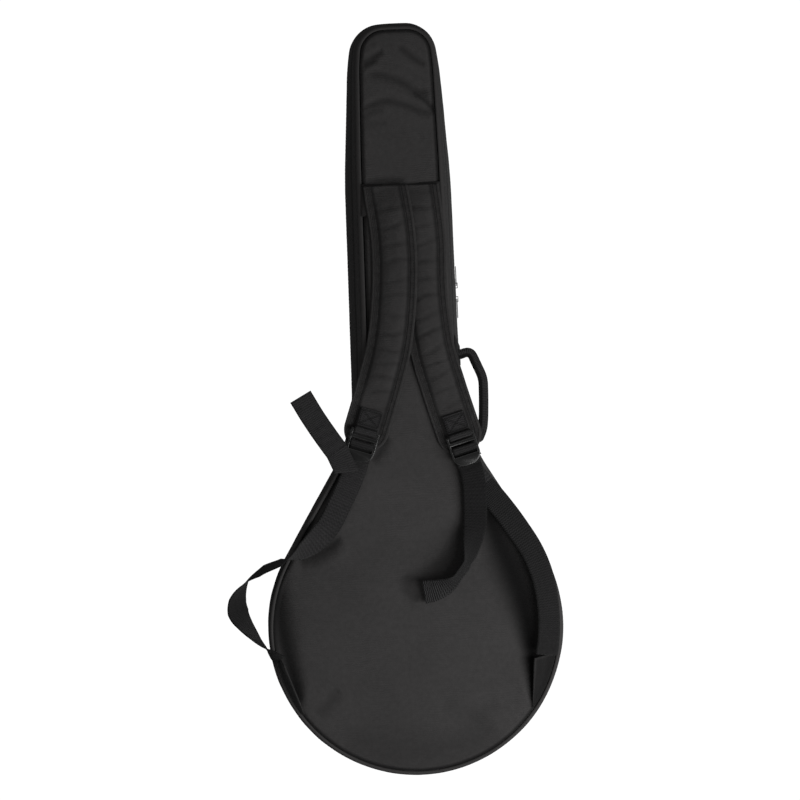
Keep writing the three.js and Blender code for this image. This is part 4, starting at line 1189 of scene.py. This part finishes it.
def side_band(name, material, matrix, line, width, rows, shade):
    """Webbing that follows a line drawn along the strap and up, in a lock's frame, with a shade on it"""
    lengths = [0.0]
    for a, b in zip(line, line[1:]):
        lengths.append(lengths[-1] + math.hypot(b[0] - a[0], b[1] - a[1]))

    def place(u, v):
        index, t = stretch_at(lengths, lengths[-1] * v)
        y = line[index][0] + (line[index + 1][0] - line[index][0]) * t
        z = line[index][1] + (line[index + 1][1] - line[index][1]) * t
        return matrix @ Vector((width * (u - 0.5), y, z)), shade(y, z)

    return sheet_piece(name, material, 12, rows, place, (width, lengths[-1]), WEB_THICK, offset=0)


def rounded_line(points, radius):
    """A broken line with its corners rounded off"""
    steps = 5
    out = [points[0]]
    for before, corner, after in zip(points, points[1:], points[2:]):
        a, b, c = Vector(before), Vector(corner), Vector(after)
        cut = min(radius, (a - b).length * 0.45, (c - b).length * 0.45)
        p, q = b + (a - b).normalized() * cut, b + (c - b).normalized() * cut
        for k in range(steps + 1):
            t = k / steps
            spot = p * (1 - t) ** 2 + b * 2 * t * (1 - t) + q * t ** 2
            out.append((spot.x, spot.y))
    return out + [points[-1]]


class BANJO_OT_straps(bpy.types.Operator):
    """Padded shoulder straps with their edge tapes"""

    bl_idname = "banjo.straps"
    bl_label = "Shoulder straps"

    def execute(self, context):
        for name, strap in STRAPS.items():
            strap_pad(name, strap)
            strap_binding(name, strap)
        return {"FINISHED"}


class BANJO_OT_locks(bpy.types.Operator):
    """Ladder locks, the loops that hold them and the webbing threaded through them"""

    bl_idname = "banjo.locks"
    bl_label = "Ladder locks"

    def execute(self, context):
        for name in STRAPS:
            matrix = lock_matrix(name)
            # The lock's rounded rims are lighter: a painted highlight
            lock = node_copy(
                "ladder_lock_body_" + name, "ladder_lock_" + name, finish("lock plastic"), 1.2 * MM, 3, 7.0
            )
            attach(lock, "lock_" + name)
            # The loop goes up over the lock's top bar and back under itself
            bar, middle, patch, upper = 5.9 * MM, 1.5 * MM, -29 * MM, 2.3 * MM
            line = rounded_line([
                (patch, upper), (middle - 4.2 * MM, upper), (middle - 3 * MM, bar + 3 * MM),
                (middle + 3 * MM, bar + 3 * MM), (middle + 3 * MM, bar - 3 * MM), (middle - 2 * MM, LOW_RUN),
                (patch, LOW_RUN),
            ], 1.6 * MM)
            # Painted shade where the loop lies low inside the lock
            loop = side_band(
                "strap_patch_" + name, finish("patch webbing"), matrix, line, 30 * MM, 90,
                lambda y, z: 0.8 * smooth(-6 * MM, -3 * MM, y) * smooth(8 * MM, 6 * MM, z),
            )
            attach(loop, "strap_" + name)
            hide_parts("strap_loop_" + name)
            # The webbing comes up from below, over the middle bar and out at the lock's end
            slot, top = 15.6 * MM, 8.35 * MM
            line = rounded_line([
                (LOCK_LENGTH, LOW_RUN), (slot, LOW_RUN), (slot, top), (22 * MM, top), (23.4 * MM, HIGH_RUN),
                (LOCK_LENGTH, HIGH_RUN),
            ], 1.8 * MM)
            # Painted shade over the whole bend, deeper where it runs low inside the lock
            turn = side_band(
                "webbing_bend_" + name, finish("woven webbing"), matrix, line, 31.4 * MM, 90,
                lambda y, z: 0.3 + 0.55 * smooth(31 * MM, 27 * MM, y) * smooth(7.8 * MM, 6 * MM, z),
            )
            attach(turn, "lock_" + name)
            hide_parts("webbing_turn_" + name)
        return {"FINISHED"}


# Webbing


def route_points(shares):
    return [Vector((x * BODY_RADIUS, y * BODY_RADIUS, DEPTH + h * WEBBING)) for x, y, h, _ in shares]


def ribbon_piece(
    name, material, points, rolls, rows, span=(0, 1), first_across=None, sag=0.0, hem=0.0,
    shade=((0, 0), (1, 0)),
):
    """Webbing along a smooth route, with a roll at each point, soft unevenness and a painted shade along it,
    which paints a highlight where it is below zero
    """
    columns = 10
    pairs = [(k / (len(rolls) - 1), math.radians(roll)) for k, roll in enumerate(rolls)]
    length = sum(
        (route_point(points, (k + 1) / 200) - route_point(points, k / 200)).length
        for k in range(int(span[0] * 200), int(span[1] * 200))
    )

    def place(u, v):
        share = span[0] + (span[1] - span[0]) * v
        along = route_tangent(points, share)
        level = along.cross(UP).normalized()
        roll = along_pairs(pairs, share)
        across = level * math.cos(roll) + level.cross(along) * math.sin(roll)
        if first_across is not None:
            square = first_across * (1 if first_across.dot(level) > 0 else -1)
            across = across.lerp(square, 1 - smooth(0, 0.03, share)).normalized()
        face = across.cross(along).normalized()
        side = 2 * u - 1
        wave = sag * uneven(share * 12, side * 0.8, len(name))
        cup = 0.5 * MM * side ** 2 * uneven(share * 8, 1, len(name))
        if hem and length * (1 - v) < hem:
            wave += WEB_THICK * 0.5 * smooth(hem, hem - 2 * MM, length * (1 - v))
        point = route_point(points, share) + across * side * WEBBING * 0.49 + face * (wave + cup)
        return point, along_pairs(shade, share)

    return sheet_piece(name, material, columns, rows, place, (WEBBING, length), WEB_THICK, offset=0)


def lock_exit(name, height, past=0.3 * MM):
    """Where the webbing leaves a lock"""
    return lock_matrix(name) @ Vector((0, LOCK_LENGTH + past, height))


def left_tail_points():
    first = lock_exit("left", HIGH_RUN)
    return [
        Vector((first.x + x * WEBBING, first.y + y * WEBBING, DEPTH + z * WEBBING)) for x, y, z in TAIL_LEFT
    ]


def lock_route(name, height, shares):
    """Route of a webbing from a lock's end on, its rolls, and its direction across at the lock"""
    first, second = lock_exit(name, height), lock_exit(name, height, 8 * MM)
    across = (lock_matrix(name).to_3x3() @ Vector((1, 0, 0))).normalized()
    return [first, second, *route_points(shares)], [0, 0, *(row[3] for row in shares)], across


class BANJO_OT_webbing(bpy.types.Operator):
    """Lower webbing from the locks to the wing tabs, and the loose tails"""

    bl_idname = "banjo.webbing"
    bl_label = "Webbing"

    def execute(self, context):
        # Painted shade along the lower webbing: over all of the right one and the far half of the left one
        for name, shares, rows, shade in (
            ("left", LOWER_LEFT, 240, ((0, 0), (0.35, 0.05), (0.5, 0.45), (1, 0.45))),
            ("right", LOWER_RIGHT, 150, ((0, 0.25), (0.3, 0.45), (0.7, 0.5), (1, 0.35))),
        ):
            points, rolls, across = lock_route(name, LOW_RUN, shares)
            cut = 2.0 / (len(points) - 1)
            main = ribbon_piece(
                "strap_webbing_" + name, finish("woven webbing"), points, rolls, rows, span=(cut, 1),
                sag=0.8 * MM, shade=shade,
            )
            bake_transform(main)
            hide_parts("webbing_lower_" + name)
            short = ribbon_piece(
                "lock_webbing_" + name, finish("woven webbing"), points, rolls, 24, span=(0, cut),
                first_across=across,
            )
            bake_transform(short)
        points, rolls, across = lock_route("right", HIGH_RUN, TAIL_RIGHT)
        # Painted shade along the right tail, and a painted highlight on its end
        tail = ribbon_piece(
            "loose_tail_right", finish("hemmed webbing right"), points, rolls, 110, first_across=across,
            sag=1.2 * MM, hem=22 * MM, shade=((0, 0.6), (0.4, 0.7), (0.75, 0.62), (0.84, -0.15), (1, -0.15)),
        )
        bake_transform(tail)
        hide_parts("webbing_tail_right")
        points = left_tail_points()
        tail = ribbon_piece(
            "loose_tail_left", finish("hemmed webbing left"), points, [0] * len(points), 70,
            first_across=(points[1] - points[0]).cross(UP).normalized(), sag=0.8 * MM, hem=22 * MM,
        )
        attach(tail, "tail_left")
        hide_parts("webbing_tail_left")
        self.fold()
        return {"FINISHED"}

    def fold(self):
        """The left tail's turn: out of the lock, round a slanting fold and back over it"""
        first = lock_exit("left", HIGH_RUN)
        across = -(lock_matrix("left").to_3x3() @ Vector((1, 0, 0))).normalized()
        # The fold's radius is in millimetres
        slant, bend, steps = math.radians(4), 3.1, 8
        along = Vector((math.cos(slant), math.sin(slant), 0))
        out = Vector((math.sin(slant), -math.cos(slant), 0))
        middle = first + Vector((FOLD_PLACE[0] * WEBBING, FOLD_PLACE[1] * WEBBING, bend * MM))
        last, following = left_tail_points()[:2]
        tail = (following - last).to_2d().to_3d().normalized()
        rows = [(first, across)]
        for k in range(steps + 1):
            turn = math.pi * k / steps
            spot = middle + out * bend * MM * math.sin(turn) - UP * bend * MM * math.cos(turn)
            rows.append((spot, along * 34 / 32))
        rows.append((last, tail.cross(UP)))
        lengths = running_lengths([spot for spot, _ in rows])

        def place(u, v):
            index, t = stretch_at(lengths, lengths[-1] * v)
            centre = rows[index][0].lerp(rows[index + 1][0], t)
            side = rows[index][1].lerp(rows[index + 1][1], t)
            return centre + side * (u - 0.5) * WEBBING * 0.98

        piece = sheet_piece(
            "tail_fold_left", finish("woven webbing"), 10, 60, place, (WEBBING, lengths[-1]), WEB_THICK,
            offset=0,
        )
        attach(piece, "lock_left")
        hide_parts("webbing_fold_left")


# Patches and handle


def yoke_patch(corners, height):
    """A sewn patch between four corners, a little raised in the middle, with painted shade along its edges"""
    puff, thickness = 0.6 * MM, 1.2 * MM
    a, b, c, d = (Vector(corner) for corner in corners)

    def place(u, v):
        point = a.lerp(b, u).lerp(d.lerp(c, u), v)
        edge = min(u, 1 - u, v, 1 - v)
        z = height + puff * smooth(0, 0.12, edge) + 0.35 * MM * uneven(point.x * 60, point.y * 60, 4)
        return Vector((point.x, point.y, z)), 0.6 * (1 - smooth(0.01, 0.06, edge))

    size = ((b - a).length, (d - a).length)
    piece = sheet_piece("yoke_patch", finish("pad cloth"), 60, 30, place, size, thickness)
    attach(piece, "back_half")
    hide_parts("strap_yoke")


class BANJO_OT_tabs(bpy.types.Operator):
    """Yoke patch over the strap ends and the wing tabs at the lower webbing"""

    bl_idname = "banjo.tabs"
    bl_label = "Yoke and wing tabs"

    def execute(self, context):
        top, low = 0.594, 0.551
        yoke_patch([(-0.0505, low), (0.0585, low), (0.057, top), (-0.049, top)], DEPTH + 1 * MM)
        radius, level = PANEL["radius"] - 5.35 * MM, DEPTH + 1.3 * MM
        for name, (first, last, (x, y, rise)) in WINGS.items():
            corner = Vector((x * PANEL["radius"], y * PANEL["radius"], level + rise * WEBBING))
            turn = math.radians(last)
            low_end = Vector(((radius - 2 * MM) * math.cos(turn), (radius - 2 * MM) * math.sin(turn), level))

            def place(u, v, first=first, last=last, corner=corner, low_end=low_end):
                v = (1 + WING_REACH) * v - WING_REACH
                turn = math.radians(first + (last - first) * v)
                rim = Vector((radius * math.cos(turn), radius * math.sin(turn), level))
                point = corner.lerp(low_end, v).lerp(rim, u)
                soft = uneven(u * 3, v * 5, corner.x * 9)
                arch = math.sin(math.pi * u)
                point.z += 1.6 * MM * soft * arch * (1 - v) - 2.2 * MM * arch * (1 - v)
                # Painted shade over the tab, but not along its inner edge nor where it reaches up over the
                # webbing
                return point, 0.6 * smooth(0.02, 0.12, u) * smooth(-0.06, -0.02, v)

            tab = sheet_piece(
                "wing_patch_" + name, finish("tab cloth"), 26, 40, place, (30 * MM, 80 * MM), 2 * MM, offset=0
            )
            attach(tab, "back_half")
            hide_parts("wing_tab_" + name)
        return {"FINISHED"}


class BANJO_OT_handle(bpy.types.Operator):
    """Webbing carry handle and its sewn ends"""

    bl_idname = "banjo.handle"
    bl_label = "Carry handle"

    def execute(self, context):
        self.grip()
        for end in ("upper", "lower"):
            tab = node_copy("handle_patch_" + end, "handle_tab_" + end, finish("woven webbing"), 0.4 * MM)
            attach(tab, "back_half")
        return {"FINISHED"}

    def grip(self):
        """Folded webbing swept along the handle's middle line, ridged on top and tucked in at its ends, with
        painted shade on its inner side
        """
        corner, look = 9 * MM, 9 * MM
        # Half width and half height of the section, in millimetres
        half_width, half_height = 6.5, 3.4
        line = rounded_line([(x * MM, y * MM) for x, y in HANDLE], corner)
        spots = [Vector((x, y, HANDLE_LEVEL)) for x, y in line]
        lengths = running_lengths(spots)

        def along(length):
            index, t = stretch_at(lengths, min(max(length, 0), lengths[-1]))
            return spots[index].lerp(spots[index + 1], t)

        def place(u, v):
            length = lengths[-1] * v
            ahead = (along(length + look) - along(length - look)).normalized()
            out = Vector((-ahead.y, ahead.x, 0))
            turn = TAU * (u % 1)
            wide, high = (abs(f) ** 0.6 * (1 if f > 0 else -1) for f in (math.cos(turn), math.sin(turn)))
            ridge = 0.35 * MM * math.sin(TAU * wide * 2.5)
            tuck = 1 - 0.35 * smooth(0.94, 1, abs(2 * v - 1))
            point = along(length) + out * wide * half_width * MM * tuck
            point.z += half_height * MM * high + ridge + 0.6 * MM * uneven(length * 50, u, 6)
            return point, 0.85 * smooth(0, -0.4, wide)

        handle = sheet_piece(
            "carry_handle_grip", finish("handle webbing"), 40, 160, place, (34 * MM, lengths[-1])
        )
        close_ends(handle)
        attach(handle, "handle")
        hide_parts("carry_handle")


# Stage


# Place on the bag that the picture's centre shows
PICTURE_CENTRE = (-0.00868, 0.30524)


def floor_material():
    """White where the camera sees it, and dark to the rays that would light the bag from below"""
    material, tree, shader = new_material("studio floor", (0.16, 0.16, 0.16), 0.9)
    path = add_node(tree, "ShaderNodeLightPath")
    white = add_node(tree, "ShaderNodeEmission", {"Color": (1, 1, 1, 1), "Strength": 1.05})
    mix = add_node(
        tree, "ShaderNodeMixShader",
        {0: path.outputs["Is Camera Ray"], 1: shader.outputs["BSDF"], 2: white.outputs["Emission"]},
    )
    tree.links.new(mix.outputs[0], tree.nodes["Material Output"].inputs["Surface"])
    return material


class BANJO_OT_stage(bpy.types.Operator):
    """Pale floor, soft lights and the camera straight over the bag"""

    bl_idname = "banjo.stage"
    bl_label = "Stage"

    def execute(self, context):
        view = context.scene.banjo_stage
        floor_half, floor_level, aim = 6, -0.8 * MM, Vector((0, 0.1, 0.05))
        bm = bmesh.new()
        bmesh.ops.create_grid(bm, x_segments=2, y_segments=2, size=floor_half)
        for vert in bm.verts:
            vert.co.z = floor_level
        floor = finish_piece(bm, "studio_floor", floor_material(), flat=True)

        world = bpy.data.worlds.new("studio light")
        context.scene.world = world
        world.use_nodes = True
        world.node_tree.nodes["Background"].inputs["Color"].default_value = (1, 1, 1, 1)
        world.node_tree.nodes["Background"].inputs["Strength"].default_value = view.fill
        for name, place, size, energy in (
            ("soft_top", (0.6, -0.2, 1.1), 0.6, view.light),
            ("soft_side", (1.5, -0.25, 1.15), 0.8, view.light * 2),
            ("soft_back", (-1.5, 1.3, 1.2), 0.9, view.light * 0.35),
        ):
            light = bpy.data.lights.new(name, "AREA")
            light.size = size
            light.energy = energy
            lamp = bpy.data.objects.new(name, light)
            context.scene.collection.objects.link(lamp)
            lamp.location = place
            lamp.visible_camera = False
            lamp.rotation_euler = (aim - Vector(place)).to_track_quat("-Z", "Y").to_euler()

        camera = bpy.data.cameras.new("camera")
        camera.sensor_width = 36
        camera.lens = 36 * view.height / view.width
        camera.clip_end = 20
        eye = bpy.data.objects.new("camera", camera)
        context.scene.collection.objects.link(eye)
        eye.location = (*PICTURE_CENTRE, HALF + view.height)
        eye.rotation_euler = (0, 0, -view.roll)
        context.scene.camera = eye
        context.scene.view_settings.view_transform = "Standard"
        return {"FINISHED"}


class BANJO_PT_panel(bpy.types.Panel):
    """Sidebar with the bag's steps and sizes"""

    bl_label = "Banjo bag"
    bl_idname = "BANJO_PT_panel"
    bl_space_type = "VIEW_3D"
    bl_region_type = "UI"
    bl_category = "Banjo Bag"

    def draw(self, context):
        for group in (context.scene.banjo_bag, context.scene.banjo_stage):
            for key in group.bl_rna.properties.keys():
                if key not in ("rna_type", "name"):
                    self.layout.prop(group, key)
        for step in STEPS:
            self.layout.operator(step.bl_idname)


STEPS = (
    BANJO_OT_materials, BANJO_OT_shell, BANJO_OT_lining, BANJO_OT_zip, BANJO_OT_straps, BANJO_OT_locks,
    BANJO_OT_webbing, BANJO_OT_tabs, BANJO_OT_handle, BANJO_OT_stage,
)


def register():
    for item in (BagSettings, StageSettings, *STEPS, BANJO_PT_panel):
        bpy.utils.register_class(item)
    bpy.types.Scene.banjo_bag = bpy.props.PointerProperty(type=BagSettings)
    bpy.types.Scene.banjo_stage = bpy.props.PointerProperty(type=StageSettings)


def unregister():
    del bpy.types.Scene.banjo_bag
    del bpy.types.Scene.banjo_stage
    for item in (BANJO_PT_panel, *reversed(STEPS), StageSettings, BagSettings):
        bpy.utils.unregister_class(item)


def main():
    register()
    for step in STEPS:
        family, name = step.bl_idname.split(".")
        getattr(getattr(bpy.ops, family), name)()
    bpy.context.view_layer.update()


if __name__ == "__main__":
    main()
